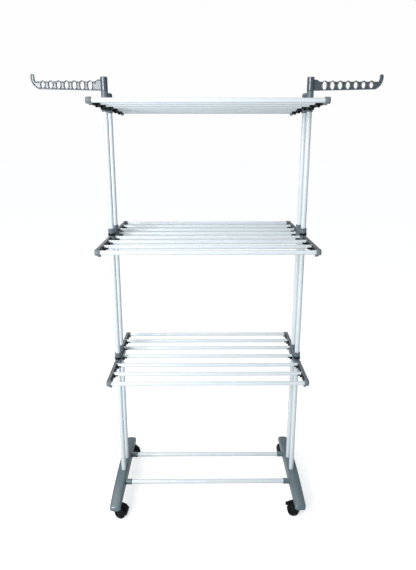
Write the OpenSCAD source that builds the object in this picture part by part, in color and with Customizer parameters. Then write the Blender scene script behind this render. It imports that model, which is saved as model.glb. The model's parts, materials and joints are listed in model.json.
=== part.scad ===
// Clothes drying rack on casters: three shelves of bars between two pairs of posts.
// Each shelf has a front and a rear wing that fold up, and a swivel arm for hangers
// stands on top of each front post. +Z is up, the front is -Y, and the origin is on
// the floor under the middle of the rack. Sizes are in millimetres.

/* [Posts] */
// Height of the arm hubs' tops above the floor
rack_h = 1700; // [1690:5:1760]
// Outside diameter of the post tubes and of the two base bars
post_d = 19; // [18:0.5:19.5]
// Wall of the post tubes
post_wall = 1; // [0.8:0.1:1.5]
// Distance from the middle of the rack to the post axes, sideways
post_x = 366; // [300:2:420]
// Distance from the middle of the rack to the post axes, front to rear
post_y = 43; // [42:1:45]

/* [Shelves] */
// Height of the lowest shelf's bars
bottom_z = 616; // [500:2:700]
// Height of the middle shelf's bars
middle_z = 1126; // [1000:2:1200]
// Height of the top shelf's bars
top_z = 1602; // [1590:1:1605]
// Outside diameter of the shelf bars
bar_d = 15; // [12:0.5:15]
// Wall of the shelf bars
bar_wall = 0.8; // [0.6:0.1:1.2]
// Distance from the middle of the rack to the first bar of a long wing
long_first = 132; // [128:1:140]
// Distance between the bars of a long wing
long_pitch = 93; // [80:1:96]
// Distance from the middle of the rack to the first bar of the lowest shelf's wings
short_first = 88; // [88:1:96]
// Distance between the bars of the lowest shelf's wings
short_pitch = 82; // [76:1:86]
// Distance from the middle to the fixed bars of the top and middle shelves
fixed_y = 45; // [38:1:46]

/* [Hinges] */
// Distance from the middle of the rack to the wings' hinge pins, front to rear
hinge_y = 68; // [68:0.5:70]
// Diameter of the hinge pins
pin_d = 6; // [5:0.5:7]
// Radial running clearance of the wings on their pins
pin_gap = 0.06; // [0.03:0.01:0.1]

/* [Arms] */
// Reach of a hanger arm from its post axis to the outside of its hook
arm_reach = 257; // [250:1:265]
// Thickness of the arm blade
blade_t = 7; // [5:0.5:9]
// Number of hanger holes in an arm
arm_holes = 7; // [5:1:7]
// Distance between the hanger holes
hole_pitch = 27.7; // [26:0.1:28]

/* [Feet] */
// Length of a foot, front to rear
foot_l = 510; // [490:5:540]
// Width of a foot
foot_w = 43; // [42:1:48]
// Height of the foot's underside above the floor
foot_base_z = 58; // [58:1:60]
// Height of the foot's top at its ends
foot_end_z = 80; // [78:1:84]
// Height of the foot's top in the middle
foot_mid_z = 104; // [98:1:108]

/* [Casters] */
// Wheel diameter
wheel_d = 46; // [44:1:46]
// Distance from the swivel axis to the wheel axle
trail = 20; // [18:1:22]
// Distance from the middle of the rack to the swivel axes, front to rear
caster_y = 203; // [195:1:212]

/* [Hidden] */
$fn = 48;
EPS = 1;                                  // how far a cut runs past a face
FIT = 0.05;                               // radial clearance of a pushed-in tube
GREY = "slategray";
WHITE = "white";
BLACK = "black";
STEEL = "silver";

TIERS = ["bottom", "middle", "top"];
SIDES = ["left", "right"];
WINGS = ["front", "rear"];
CORNERS = ["front_left", "front_right", "rear_left", "rear_right"];
tier_z = [bottom_z, middle_z, top_z];

// Connector that joins the front and the rear post at one shelf
block_in = 12.8;                          // from the post axis to the block's inner face
block_out = 11;                           // from the post axis to the block's outer face
block_y = 56;                             // half the block's depth
block_low = -14;
block_high = 9;
collar_r = 12.4;
collar_low = -19;
collar_high = 36;
flare_r = 13;
post_web = 1.5;                           // half the wall between two post sections
lug_w = 10.6;
lug_r = 8.7;
post_seat = 9;                            // from the upper post's end to the collars' tops
bridge_w = 16;
clip_z = 13.6;                            // height of the post clips above the shelf
clip_h = 8.4;
clip_t = 1.4;
clip_gap = 0.15;                          // between a collar and its clip
clip_pin_d = 4;

// Wing rails
rail_in = post_x - 2;                     // inner face of the right-hand rails
rail_w = 12;
rail_h = 17;
nose_r = 8.5;
bar_seat = 4;                             // how far a bar goes into its rail
elbow_r = 10.5;
elbow_in = 6;                             // the elbow reaches this far inside the rail
elbow_round = 6;
cradle_l = 17;                            // length of the gutters under the bars' ends
cradle_r = bar_d / 2 + 1.8;
cradle_top = -1;                          // height of a gutter's rims about the bar's axis
lump_l = 7;                               // the round foot at the cradle's outer end
lump_drop = 9;                            // from the bar's axis to the foot's centre
lump_r = 6.5;
strip_t = 3.5;                            // black strip along a rail's inner face
strip_low = -11;
strip_high = 6.5;
clip_r = 5.5;                             // round clip under the elbow
rest_top = -rail_h / 2 - 0.3;             // the wings rest just above this height
rest_t = 5;
rest_l = 9;                               // how far the rests reach past the hinge pins

// Feet
foot_x = post_x + 6;
foot_wall = 3;
foot_round = 17;                          // rounding of the foot's top ends
plan_round = 13;                          // rounding of the foot's corners seen from above
post_seat_z = 70;
post_boss_r = 13.6;
plug_boss_w = 25;
stem_boss_r = 11;
base_bar_y = 98;
base_bar_z = 79;
base_socket_l = 27;
base_socket_r = 12;
base_plug_r = 9;
base_plug_l = 15;
stem_r = 4;
stem_top_z = 78;

// Casters
wheel_r = wheel_d / 2;
wheel_w = 15.5;
wheel_gap = 5.5;                          // half the space between a caster's two wheels
web_t = 9;
fender_gap = 1.2;
fender_t = 2;
axle_r = 3;
hood_top = foot_base_z - 0.5;
lever_x = 38.5;                           // the brake lever's pivot
lever_z = 47.5;
lever_l = 15;
lever_w = 20;
lever_t = 3;
lever_tilt = 22;
lever_barrel_r = 2.7;
lever_lug_r = 3;
lever_pin_r = 1.2;
caster_angle = [-20, 170, 37, 104];       // where each caster trails, in CORNERS order

// Arms, measured from the hub's top
hub_r = 12.5;
hub_l = 46;
hub_gap = 0.5;                            // between a hub and the collar below it
top_rise = rack_h - hub_l - hub_gap - top_z;  // the top connector's collars above its shelf
spigot_r = 8;
hub_cap = 5;
blade_low_in = -46;
blade_top = -15.3;
blade_top_in = -8.5;
hook_r = 42;
hook_t = 12.5;
hook_x = arm_reach - hook_r;
hook_z = -2;
hook_low = -68;                           // angles at which the hook's curve starts and ends
hook_end = 8;
hook_mid = -28;
hole_margin = 41.3;                       // from the last hole's middle to the arm's end
hole_first = arm_reach - hole_margin - hole_pitch * (arm_holes - 1);

function wing_first(t) = t == 0 ? short_first : long_first;
function wing_pitch(t) = t == 0 ? short_pitch : long_pitch;
function bar_y(t, i) = wing_first(t) + i * wing_pitch(t);
function arc(cx, cy, rx, ry, a0, a1, n) =
    [for (i = [0:n]) let (a = a0 + (a1 - a0) * i / n) [cx + rx * cos(a), cy + ry * sin(a)]];
function wing_name(t, w) = str("wing_", TIERS[t], "_", WINGS[w]);

// ---------- shared shapes ----------

// Puts a right-hand shape on side s: 0 is left, 1 is right.
module on_side(s) {
    mirror([s == 0 ? 1 : 0, 0, 0]) children();
}

// Puts a rear shape at end w: 0 is front, 1 is rear.
module at_end(w) {
    mirror([0, w == 0 ? 1 : 0, 0]) children();
}

// A cylinder along +X that starts at the origin.
module rod_x(l, r) {
    rotate([0, 90, 0]) cylinder(h = l, r = r);
}

module tube(l, d, wall) {
    difference() {
        cylinder(h = l, d = d);
        translate([0, 0, -EPS]) cylinder(h = l + 2 * EPS, d = d - 2 * wall);
    }
}

// A tube along X, centred on the rack.
module cross_tube(half_l, d, wall) {
    translate([-half_l, 0, 0]) rotate([0, 90, 0]) tube(2 * half_l, d, wall);
}

module ring_sector(r_in, r_out, a0, a1) {
    polygon(concat(arc(0, 0, r_out, r_out, a0, a1, 16), arc(0, 0, r_in, r_in, a1, a0, 16)));
}

// ---------- posts and base ----------

// The four tubes of one post section, between two heights.
module post_section(z0, z1) {
    color(WHITE)
        for (x = [-post_x, post_x], y = [-post_y, post_y])
            translate([x, y, z0]) tube(z1 - z0, post_d, post_wall);
}

// Side outline of a foot: flat below, arched above, rounded at both top ends.
function foot_outline(half_l, low, drop, round) = concat(
    [[-half_l, low], [half_l, low]],
    arc(half_l - round, foot_end_z - drop - round, round, round, 0, 80, 8),
    [for (i = [-8:8]) let (y = -i / 8 * (half_l - round))
        [y, foot_mid_z - drop - (foot_mid_z - foot_end_z) * pow(y / (half_l - round), 2)]],
    arc(-half_l + round, foot_end_z - drop - round, round, round, 100, 180, 8)
);

function rounded_plan(half_w, half_l, r) = concat(
    arc(half_w - r, half_l - r, r, r, 0, 90, 6),
    arc(-half_w + r, half_l - r, r, r, 90, 180, 6),
    arc(-half_w + r, -half_l + r, r, r, 180, 270, 6),
    arc(half_w - r, -half_l + r, r, r, 270, 360, 6)
);

module foot_body(inset, low) {
    intersection() {
        translate([-foot_w, 0, 0]) rotate([90, 0, 90])
            linear_extrude(2 * foot_w)
                polygon(foot_outline(foot_l / 2 - inset, low, inset, foot_round - inset));
        linear_extrude(2 * foot_mid_z)
            polygon(rounded_plan(foot_w / 2 - inset, foot_l / 2 - inset, plan_round - inset));
    }
}

// Solid parts inside the foot's shell that hold the posts, base bars and casters.
module foot_bosses() {
    for (e = [-1, 1]) {
        translate([post_x - foot_x, e * post_y, foot_base_z])
            cylinder(h = foot_mid_z, r = post_boss_r);
        translate([-foot_w / 2, e * base_bar_y - plug_boss_w / 2, foot_base_z])
            cube([base_plug_l + 4, plug_boss_w, foot_mid_z]);
        translate([0, e * caster_y, foot_base_z]) cylinder(h = foot_mid_z, r = stem_boss_r);
    }
}

module foot(s) {
    color(GREY) on_side(s) translate([foot_x, 0, 0]) difference() {
        foot_body(0, foot_base_z);
        difference() {
            foot_body(foot_wall, foot_base_z - EPS);
            foot_bosses();
        }
        for (e = [-1, 1]) {
            translate([post_x - foot_x, e * post_y, post_seat_z])
                cylinder(h = foot_mid_z, d = post_d + 2 * FIT);
            translate([-foot_w / 2 - EPS, e * base_bar_y, base_bar_z])
                rod_x(base_plug_l + 1.5, base_plug_r + FIT);
            translate([0, e * caster_y, foot_base_z - EPS])
                cylinder(h = stem_top_z - foot_base_z + EPS + 0.5, r = stem_r + FIT);
        }
    }
}

module base_bars() {
    color(WHITE)
        for (y = [-base_bar_y, base_bar_y])
            translate([0, y, base_bar_z])
                cross_tube(foot_x - foot_w / 2 - 4.5, post_d, post_wall);
}

// Cups on the inner faces of the feet that hold the ends of the base bars.
module base_bar_sockets() {
    color(GREY)
        for (s = [0:1], y = [-base_bar_y, base_bar_y])
            on_side(s) translate([foot_x - foot_w / 2, y, base_bar_z]) difference() {
                union() {
                    translate([-base_socket_l, 0, 0]) rod_x(base_socket_l - 0.05, base_socket_r);
                    translate([-2, 0, 0]) rod_x(base_plug_l + 2, base_plug_r);
                }
                translate([-base_socket_l - EPS, 0, 0])
                    rod_x(base_socket_l + EPS - 4, post_d / 2 + FIT);
            }
}

// ---------- connectors ----------

module collar(high) {
    rotate_extrude()
        polygon([[0, collar_low], [collar_r - 1, collar_low], [collar_r, collar_low + 1],
                 [collar_r, high - 4], [flare_r, high - 2], [flare_r, high - 0.8],
                 [flare_r - 0.8, high], [0, high]]);
}

// The top connector's rear collar, closed by a low cone.
module capped_collar(high) {
    rotate_extrude()
        polygon([[0, collar_low], [collar_r - 1, collar_low], [collar_r, collar_low + 1],
                 [collar_r, high - 9], [collar_r - 5, high], [0, high]]);
}

// Lug that carries a wing's hinge pin.
module hinge_lug() {
    lug_x = rail_in - 0.4 - lug_w - post_x;
    translate([lug_x, hinge_y, 0]) rod_x(lug_w, lug_r);
    translate([lug_x, block_y - 4, -lug_r]) cube([lug_w, hinge_y - block_y + 4, 2 * lug_r]);
}

module connector_body(is_top) {
    high = is_top ? top_rise : collar_high;
    translate([-block_in, -block_y, block_low])
        cube([block_in + block_out, 2 * block_y, block_high - block_low]);
    translate([0, -post_y, 0])
        if (is_top) cylinder(h = high, r = collar_r); else collar(high);
    translate([0, -post_y, collar_low]) cylinder(h = -collar_low, r = collar_r);
    translate([0, post_y, 0])
        if (is_top) capped_collar(high); else collar(high);
    for (w = [0:1]) at_end(w) hinge_lug();
    if (is_top) {
        translate([-bridge_w / 2, -post_y, block_low])
            cube([bridge_w, 2 * post_y, high - 8 - block_low]);
        translate([0, -post_y, high - EPS])
            cylinder(h = rack_h - hub_cap - 1 - top_z - high + EPS, r = spigot_r);
    }
}

module connector(t, s) {
    is_top = t == 2;
    bore_r = post_d / 2 + FIT;
    color(GREY) on_side(s) translate([post_x, 0, tier_z[t]]) difference() {
        connector_body(is_top);
        for (e = [-1, 1]) {
            translate([0, e * post_y, collar_low - EPS])
                cylinder(h = (is_top ? top_rise - post_seat : -post_web) - collar_low + EPS,
                         r = bore_r);
            if (!is_top)
                translate([0, e * post_y, post_web]) cylinder(h = collar_high, r = bore_r);
            translate([-lug_w - 4, e * hinge_y, 0]) rod_x(lug_w + 6, pin_d / 2 + FIT);
            translate([bore_r - 0.5, e * post_y, clip_z])
                rod_x(collar_r, clip_pin_d / 2 + FIT);
        }
    }
}

// Black clips around the outer halves of the collars, with pins that hold the posts.
module post_clips() {
    r = collar_r + clip_gap;
    color(BLACK)
        for (t = [0:2], s = [0:1], w = [0:1])
            on_side(s) at_end(w) translate([post_x, post_y, tier_z[t] + clip_z]) {
                translate([0, 0, -clip_h / 2]) linear_extrude(clip_h)
                    ring_sector(r, r + clip_t, -8, 188);
                translate([post_d / 2 + 0.3, 0, 0])
                    rod_x(collar_r - post_d / 2 + 0.7, clip_pin_d / 2);
            }
}

// Black shelves under the rails' hinge ends that hold the open wings level.
module hinge_rests() {
    rest_x = rail_in - 0.4 - lug_w;
    color(BLACK)
        for (t = [0:2], s = [0:1], w = [0:1])
            on_side(s) at_end(w)
                translate([rest_x, block_y + FIT, tier_z[t] + rest_top - rest_t])
                    cube([rail_in + rail_w + 1 - rest_x, hinge_y + rest_l - block_y, rest_t]);
}

// Black pins that the wings turn on, with round heads outside the rails.
module hinge_pins() {
    shank_in = rail_in - lug_w;
    color(BLACK)
        for (t = [0:2], s = [0:1], e = [-1, 1])
            on_side(s) translate([shank_in, e * hinge_y, tier_z[t]]) {
                rod_x(rail_in + rail_w + 0.4 - shank_in, pin_d / 2);
                translate([rail_in + rail_w + 0.4 - shank_in, 0, 0]) rod_x(2.4, pin_d / 2 + 2.5);
            }
}

// ---------- shelves ----------

module fixed_bar(y, z) {
    translate([0, y, z]) cross_tube(post_x - block_in - 0.3, bar_d, bar_wall);
}

module fixed_bars() {
    color(WHITE) {
        fixed_bar(0, tier_z[0]);
        for (t = [1:2], y = [-fixed_y, fixed_y]) fixed_bar(y, tier_z[t]);
    }
}

// A black cradle under a bar's end before the bar's seat is cut, from the face at x = 0
// towards the middle of the rack: a gutter, with a round foot at its outer end.
module cradle_body() {
    rotate([0, -90, 0]) difference() {
        union() {
            cylinder(h = cradle_l, r = cradle_r);
            linear_extrude(lump_l) hull() {
                circle(r = cradle_r - 0.4);
                translate([-lump_drop, 0]) circle(r = lump_r);
            }
        }
        translate([cradle_top, -bar_d, -EPS]) cube([2 * bar_d, 2 * bar_d, cradle_l + 2 * EPS]);
    }
}

module bar_seat_cut() {
    translate([-cradle_l - 2 * EPS, 0, 0]) rod_x(cradle_l + 3 * EPS, bar_d / 2 + FIT);
}

module bar_cradle() {
    difference() {
        cradle_body();
        bar_seat_cut();
    }
}

module fixed_bar_sockets() {
    color(BLACK)
        for (s = [0:1]) on_side(s) translate([post_x - block_in - 0.05, 0, 0]) {
            translate([0, 0, tier_z[0]]) bar_cradle();
            for (t = [1:2], y = [-fixed_y, fixed_y])
                translate([0, y, tier_z[t]]) bar_cradle();
        }
}

// The rounded corner at a rail's outer end, with the small clip under the bar's end.
module elbow() {
    l = rail_w + elbow_in;
    translate([rail_in - elbow_in, 0, 0]) rotate([0, 90, 0]) rotate_extrude()
        polygon(concat([[0, 0], [elbow_r, 0]],
            arc(elbow_r - elbow_round, l - elbow_round, elbow_round, elbow_round, 0, 90, 6),
            [[0, l]]));
    translate([rail_in - elbow_in - 4, 0, -elbow_r + 1.5]) rod_x(2 * clip_r, clip_r);
}

module rail(t, w, s) {
    end_y = bar_y(t, 2);
    color(GREY) on_side(s) at_end(w) translate([0, 0, tier_z[t]]) difference() {
        union() {
            translate([rail_in, hinge_y, 0]) rod_x(rail_w, nose_r);
            translate([rail_in, hinge_y, -rail_h / 2]) cube([rail_w, end_y - hinge_y, rail_h]);
            translate([0, end_y, 0]) elbow();
        }
        translate([rail_in - EPS, hinge_y, 0]) rod_x(rail_w + 2 * EPS, pin_d / 2 + pin_gap);
        for (i = [0:2])
            translate([rail_in - 2 * elbow_in, bar_y(t, i), 0])
                rod_x(2 * elbow_in + bar_seat + 0.2, bar_d / 2 + FIT);
        translate([rail_in + 3, hinge_y + 14, rail_h / 2 - 1.5])
            cube([rail_w - 6, end_y - hinge_y - 30, 3]);
    }
}

module wing_bars(t, w) {
    color(WHITE) at_end(w)
        for (i = [0:2])
            translate([0, bar_y(t, i), tier_z[t]]) cross_tube(rail_in + bar_seat, bar_d, bar_wall);
}

// The black strip on a rail's inner face, with the cradles of the two inner bars.
module socket_strip(t) {
    y0 = hinge_y + rest_l + 1;
    y1 = bar_y(t, 2) - elbow_r - 1;
    difference() {
        union() {
            translate([-strip_t, y0, strip_low]) cube([strip_t, y1 - y0, strip_high - strip_low]);
            for (i = [0:1]) translate([-1, bar_y(t, i), 0]) cradle_body();
        }
        for (i = [0:1]) translate([0, bar_y(t, i), 0]) bar_seat_cut();
    }
}

module wing_sockets(t, w) {
    color(BLACK) at_end(w)
        for (s = [0:1]) on_side(s) translate([rail_in - 0.05, 0, tier_z[t]]) socket_strip(t);
}

// ---------- arms ----------

function hole_x(i) = hole_first + i * hole_pitch;
function hole_f(i) = i / (arm_holes - 1);
function hole_z(i) = -28.6 + 2 * hole_f(i);
function hole_a(i) = 7.5 - 1 * hole_f(i);
function hole_b(i) = 14 - 3.8 * hole_f(i);
function hole_outline(i, grow) =
    arc(hole_x(i), hole_z(i), hole_a(i) + grow, hole_b(i) + grow, 0, 345, 23);

function blade_outline() = concat(
    [[0, blade_low_in]],
    arc(hook_x, hook_z, hook_r, hook_r, hook_low, hook_end, 14),
    arc(hook_x + (hook_r - hook_t / 2) * cos(hook_end), hook_z + (hook_r - hook_t / 2) * sin(hook_end),
        hook_t / 2, hook_t / 2, hook_end + 15, hook_end + 165, 10),
    arc(hook_x, hook_z, hook_r - hook_t, hook_r - hook_t, hook_end, hook_mid, 6),
    [[33, blade_top], [20, blade_top_in], [0, blade_top_in]]
);

module blade_slab(t) {
    translate([0, t / 2, 0]) rotate([90, 0, 0]) linear_extrude(t) children();
}

module arm(s) {
    color(GREY) on_side(s) translate([post_x, -post_y, rack_h]) difference() {
        union() {
            rotate_extrude()
                polygon([[0, -hub_l], [hub_r, -hub_l], [hub_r, -20.5], [hub_r - 0.6, -20.2],
                         [hub_r - 0.6, -19.3], [hub_r, -19], [hub_r, -1.5], [hub_r - 1.5, 0], [0, 0]]);
            blade_slab(blade_t) polygon(blade_outline());
            for (i = [0:arm_holes - 1]) {
                blade_slab(blade_t + 3) polygon(hole_outline(i, 2.6));
                blade_slab(blade_t) translate([hole_x(i), blade_top - 1]) circle(r = 5.2);
            }
        }
        translate([0, 0, -hub_l - EPS]) cylinder(h = hub_l + EPS - hub_cap, r = spigot_r + pin_gap);
        for (i = [0:arm_holes - 1]) blade_slab(3 * blade_t) polygon(hole_outline(i, 0));
    }
}

// ---------- casters ----------

// Puts a shape made about the swivel axis, trailing along +X, at corner c.
module at_caster(c) {
    translate([(c % 2 == 0 ? -1 : 1) * foot_x, (c < 2 ? -1 : 1) * caster_y, 0])
        rotate([0, 0, caster_angle[c]]) children();
}

module caster_stems() {
    color(STEEL)
        for (c = [0:3]) at_caster(c)
            translate([0, 0, hood_top - 9]) cylinder(h = stem_top_z - hood_top + 9, r = stem_r);
}

// Side view, about the axle, of the hood's plate; a front one has a lug for the brake lever.
module hood_plate(has_brake) {
    intersection() {
        circle(r = wheel_r + fender_gap + fender_t - 0.2);
        translate([-wheel_d, 8 - wheel_r]) square([2 * wheel_d, 2 * wheel_d]);
    }
    if (has_brake) hull() {
        translate([lever_x - trail, lever_z - wheel_r]) circle(r = lever_lug_r);
        translate([(lever_x - trail) / 2, (lever_z - wheel_r) / 2]) circle(r = 2 * lever_lug_r);
    }
}

// The hood: a plate between the wheels, a fender over them and the boss for the stem.
module caster_hood(c) {
    has_brake = c < 2;
    fender_r = wheel_r + fender_gap;
    fender_w = 2 * (wheel_gap + wheel_w) - 2;
    boss_low = wheel_r + fender_r - 3;
    color(BLACK) at_caster(c) difference() {
        union() {
            translate([trail, web_t / 2, wheel_r]) rotate([90, 0, 0]) {
                linear_extrude(web_t) hood_plate(has_brake);
                translate([0, 0, (web_t - fender_w) / 2]) linear_extrude(fender_w)
                    ring_sector(fender_r, fender_r + fender_t, 40, 175);
            }
            translate([0, 0, boss_low]) cylinder(h = hood_top - boss_low, r = 9);
            translate([-4.4, -web_t / 2, 14]) cube([trail, web_t, hood_top - 16]);
            if (has_brake) translate([lever_x, lever_w / 2 - 1, lever_z]) rotate([90, 0, 0])
                cylinder(h = lever_w - 2, r = lever_pin_r);
        }
        translate([0, 0, hood_top - 9 - 0.3]) cylinder(h = 12, r = stem_r + pin_gap);
        translate([trail, 2 * web_t, wheel_r]) rotate([90, 0, 0])
            cylinder(h = 4 * web_t, r = axle_r + FIT);
    }
}

module caster_axle(c) {
    l = 2 * (wheel_gap + wheel_w) - 6;
    color(STEEL) at_caster(c)
        translate([trail, l / 2, wheel_r]) rotate([90, 0, 0]) cylinder(h = l, r = axle_r);
}

// Two dished wheels side by side; the profile is a half section along the axle.
module caster_wheels(c) {
    bore = axle_r + pin_gap;
    color(BLACK) at_caster(c)
        for (e = [0:1]) translate([trail, 0, wheel_r]) mirror([0, e, 0])
            translate([0, wheel_gap, 0]) rotate([-90, 0, 0]) rotate_extrude()
                polygon([[bore, 0], [wheel_r - 1, 0], [wheel_r, 1], [wheel_r, wheel_w - 3],
                         [wheel_r - 2.5, wheel_w - 0.5], [wheel_r - 5, wheel_w - 0.5],
                         [wheel_r - 6.5, wheel_w - 2.5], [8, wheel_w - 2], [6.5, wheel_w],
                         [0, wheel_w], [0, wheel_w - 2], [bore, wheel_w - 2]]);
}

// The foot-operated tab that locks a front caster, on a pin of the hood's lug.
module brake_lever(c) {
    slot = lever_lug_r + 0.6;
    color(BLACK) at_caster(c) translate([lever_x, 0, lever_z]) difference() {
        translate([0, lever_w / 2, 0]) rotate([90, 0, 0]) linear_extrude(lever_w) difference() {
            union() {
                circle(r = lever_barrel_r);
                rotate(-lever_tilt) translate([0, -lever_t / 2]) square([lever_l, lever_t]);
            }
            circle(r = lever_pin_r + pin_gap);
        }
        translate([-2 * slot, -web_t / 2 - 0.4, -2 * slot]) cube([3 * slot, web_t + 0.8, 4 * slot]);
    }
}

// ---------- nodes ----------

for (s = [0:1]) {
    foot(s);
    arm(s);
    brake_lever(s);
}
base_bars();
base_bar_sockets();
post_section(post_seat_z, bottom_z - post_web);  // posts_lower
post_section(bottom_z + post_web, middle_z - post_web);  // posts_middle
post_section(middle_z + post_web, top_z + top_rise - post_seat);  // posts_upper
fixed_bars();
fixed_bar_sockets();
hinge_pins();
hinge_rests();
post_clips();
caster_stems();
for (t = [0:2], s = [0:1])
    connector(t, s);
for (t = [0:2], w = [0:1]) {
    wing_bars(t, w);
    wing_sockets(t, w);
    for (s = [0:1])
        rail(t, w, s);
}
for (c = [0:3]) {
    caster_hood(c);
    caster_wheels(c);
    caster_axle(c);
}
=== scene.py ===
"""Looks of a clothes drying rack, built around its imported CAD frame.

Sizes are in millimetres inside this file, and each mesh is written in metres.
Every shape is a surface over a grid of two parameters, or a profile carried
along a path, and is worked out as whole numpy arrays.
"""

import json
import math

import bmesh
import bpy
import numpy as np
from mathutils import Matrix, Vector


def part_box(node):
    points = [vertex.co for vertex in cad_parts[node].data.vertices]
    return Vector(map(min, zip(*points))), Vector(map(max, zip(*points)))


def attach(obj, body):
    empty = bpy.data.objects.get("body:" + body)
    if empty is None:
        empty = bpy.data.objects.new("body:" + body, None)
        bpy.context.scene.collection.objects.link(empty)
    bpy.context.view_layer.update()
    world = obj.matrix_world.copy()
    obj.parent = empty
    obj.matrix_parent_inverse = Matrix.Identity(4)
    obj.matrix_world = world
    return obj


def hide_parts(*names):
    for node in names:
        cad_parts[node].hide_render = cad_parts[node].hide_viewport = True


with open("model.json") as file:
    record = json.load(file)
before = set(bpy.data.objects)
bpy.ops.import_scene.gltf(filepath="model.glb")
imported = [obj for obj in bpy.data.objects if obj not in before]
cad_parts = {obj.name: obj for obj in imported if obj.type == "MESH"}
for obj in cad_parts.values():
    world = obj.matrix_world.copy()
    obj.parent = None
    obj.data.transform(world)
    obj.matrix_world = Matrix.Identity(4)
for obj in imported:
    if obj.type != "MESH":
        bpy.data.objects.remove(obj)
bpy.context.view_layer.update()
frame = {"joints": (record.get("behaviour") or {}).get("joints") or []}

bl_info = {
    "name": "Clothes Drying Rack",
    "version": (1, 0, 0),
    "blender": (4, 5, 0),
    "location": "View3D > Sidebar > Rack",
    "description": "Builds the tubes, connectors, wings, arms, feet and casters of a drying rack",
    "category": "Object",
}

TIERS = ("bottom", "middle", "top")
SIDES = ("left", "right")
WINGS = ("front", "rear")
CORNERS = ("front_left", "front_right", "rear_left", "rear_right")
MM = 1000.0
SWIVEL_BELOW_TOP = 20.0
HUB_GAP = 0.5
HINGE_GAP = 0.4
JOINTS = {j["name"]: j for j in frame["joints"]}


# ---------------------------------------------------------------- places from the frame

def box_mm(node):
    """The two corners of a CAD node's box, in millimetres."""
    low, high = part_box(node)
    return np.array(low) * MM, np.array(high) * MM


def joint_mm(name):
    """A joint's point, in millimetres."""
    return np.array(JOINTS[name]["pos_m"]) * MM


def sign_of(side_or_wing):
    """-1 for left or front, +1 for right or rear."""
    return -1.0 if side_or_wing in ("left", "front") else 1.0


BASE_LOW, BASE_HIGH = box_mm("base_bars")
POST_R = (BASE_HIGH[2] - BASE_LOW[2]) / 2
BASE_Y = BASE_HIGH[1] - POST_R
BASE_Z = (BASE_HIGH[2] + BASE_LOW[2]) / 2
POST_X, POST_Y, HUB_TOP = joint_mm("arm_right_swivel") * [1, -1, 1] + [0, 0, SWIVEL_BELOW_TOP]
TIER_Z = {t: joint_mm(f"wing_{t}_rear_hinge")[2] for t in TIERS}
HINGE_Y = joint_mm("wing_top_rear_hinge")[1]
BAR_LOW, BAR_HIGH = box_mm("wing_top_rear_bars")
BAR_R = (BAR_HIGH[2] - BAR_LOW[2]) / 2
RAIL_OUT = box_mm("wing_top_rear_rail_right")[1][0]
FOOT_LOW, FOOT_HIGH = box_mm("foot_right")
FOOT_X = (FOOT_LOW[0] + FOOT_HIGH[0]) / 2
WHEEL_R = joint_mm("wheels_front_left_spin")[2]
ARM_HIGH = box_mm("arm_right")[1]
FIXED_HIGH = box_mm("fixed_bars")[1]
TUBE_WALL = 1.0
EDGE_STEPS = 4


def wing_bar_ys(tier):
    """Distances from the middle of the rack to a wing's three bars."""
    low, high = box_mm(f"wing_{tier}_rear_bars")
    first, last = low[1] + BAR_R, high[1] - BAR_R
    return [first, (first + last) / 2, last]


def fixed_bar_places():
    """Where the fixed bars cross the rack: one on the bottom shelf, two on each of the others."""
    y = FIXED_HIGH[1] - BAR_R
    upper = [(side * y, TIER_Z[tier]) for tier in ("middle", "top") for side in (-1, 1)]
    return [(0.0, TIER_Z["bottom"])] + upper


# ---------------------------------------------------------------- user settings

class RackFinishSettings(bpy.types.PropertyGroup):
    """Colours of the rack's finishes."""

    white: bpy.props.StringProperty(
        name="Tube white", description="Powder coat of the tubes, sRGB hex", default="DFE7EB")
    grey: bpy.props.StringProperty(
        name="Connector grey", description="Moulded connectors, sRGB hex", default="626F76")
    rail_grey: bpy.props.StringProperty(
        name="Rail grey", description="Moulded side rails of the wings, sRGB hex", default="71777A")
    arm_grey: bpy.props.StringProperty(
        name="Arm grey", description="Moulded hanger arms, sRGB hex", default="48545B")
    foot_grey: bpy.props.StringProperty(
        name="Foot grey", description="Moulded feet, sRGB hex", default="607178")
    black: bpy.props.StringProperty(
        name="Black", description="Moulded nylon cups, pins and casters, sRGB hex", default="0D0E11")
    steel: bpy.props.StringProperty(
        name="Steel", description="Zinc plate of stems and axles, sRGB hex", default="C4C8CC")
    gloss: bpy.props.FloatProperty(
        name="Tube roughness", description="Roughness of the powder coat", default=0.3,
        min=0.05, max=0.9, subtype="FACTOR")


class RackShapeSettings(bpy.types.PropertyGroup):
    """Sizes of the details that the frame leaves open, in millimetres."""

    rib_pitch: bpy.props.FloatProperty(
        name="Rib pitch", description="Distance between the ribs in a rail's channel", default=9.0,
        min=6.0, max=20.0)
    rib_t: bpy.props.FloatProperty(
        name="Rib thickness", description="Thickness of a rib in a rail's channel", default=1.4,
        min=0.8, max=3.0)
    channel_depth: bpy.props.FloatProperty(
        name="Channel depth", description="Depth of the channel in a rail's top", default=1.6,
        min=0.4, max=3.0)
    arm_rim: bpy.props.FloatProperty(
        name="Arm rim", description="Half thickness of an arm at its rims", default=4.8,
        min=3.0, max=5.0)
    arm_web: bpy.props.FloatProperty(
        name="Arm web", description="Half thickness of an arm between its rims", default=2.4,
        min=1.5, max=4.0)
    foot_wall: bpy.props.FloatProperty(
        name="Foot wall", description="Wall of a foot's shell", default=3.0, min=2.0, max=5.0)


# ---------------------------------------------------------------- surfaces

def sweep_faces(rows, columns, wrap):
    """Four corners of each face of a grid; wrap joins the last column to the first."""
    i = np.arange(rows - 1)[:, None]
    j = np.arange(columns if wrap else columns - 1)[None, :]
    k = (j + 1) % columns
    corners = [i * columns + j, (i + 1) * columns + j, (i + 1) * columns + k, i * columns + k]
    return np.stack([np.broadcast_to(c, (rows - 1, j.shape[1])) for c in corners], -1).reshape(-1, 4)


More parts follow.
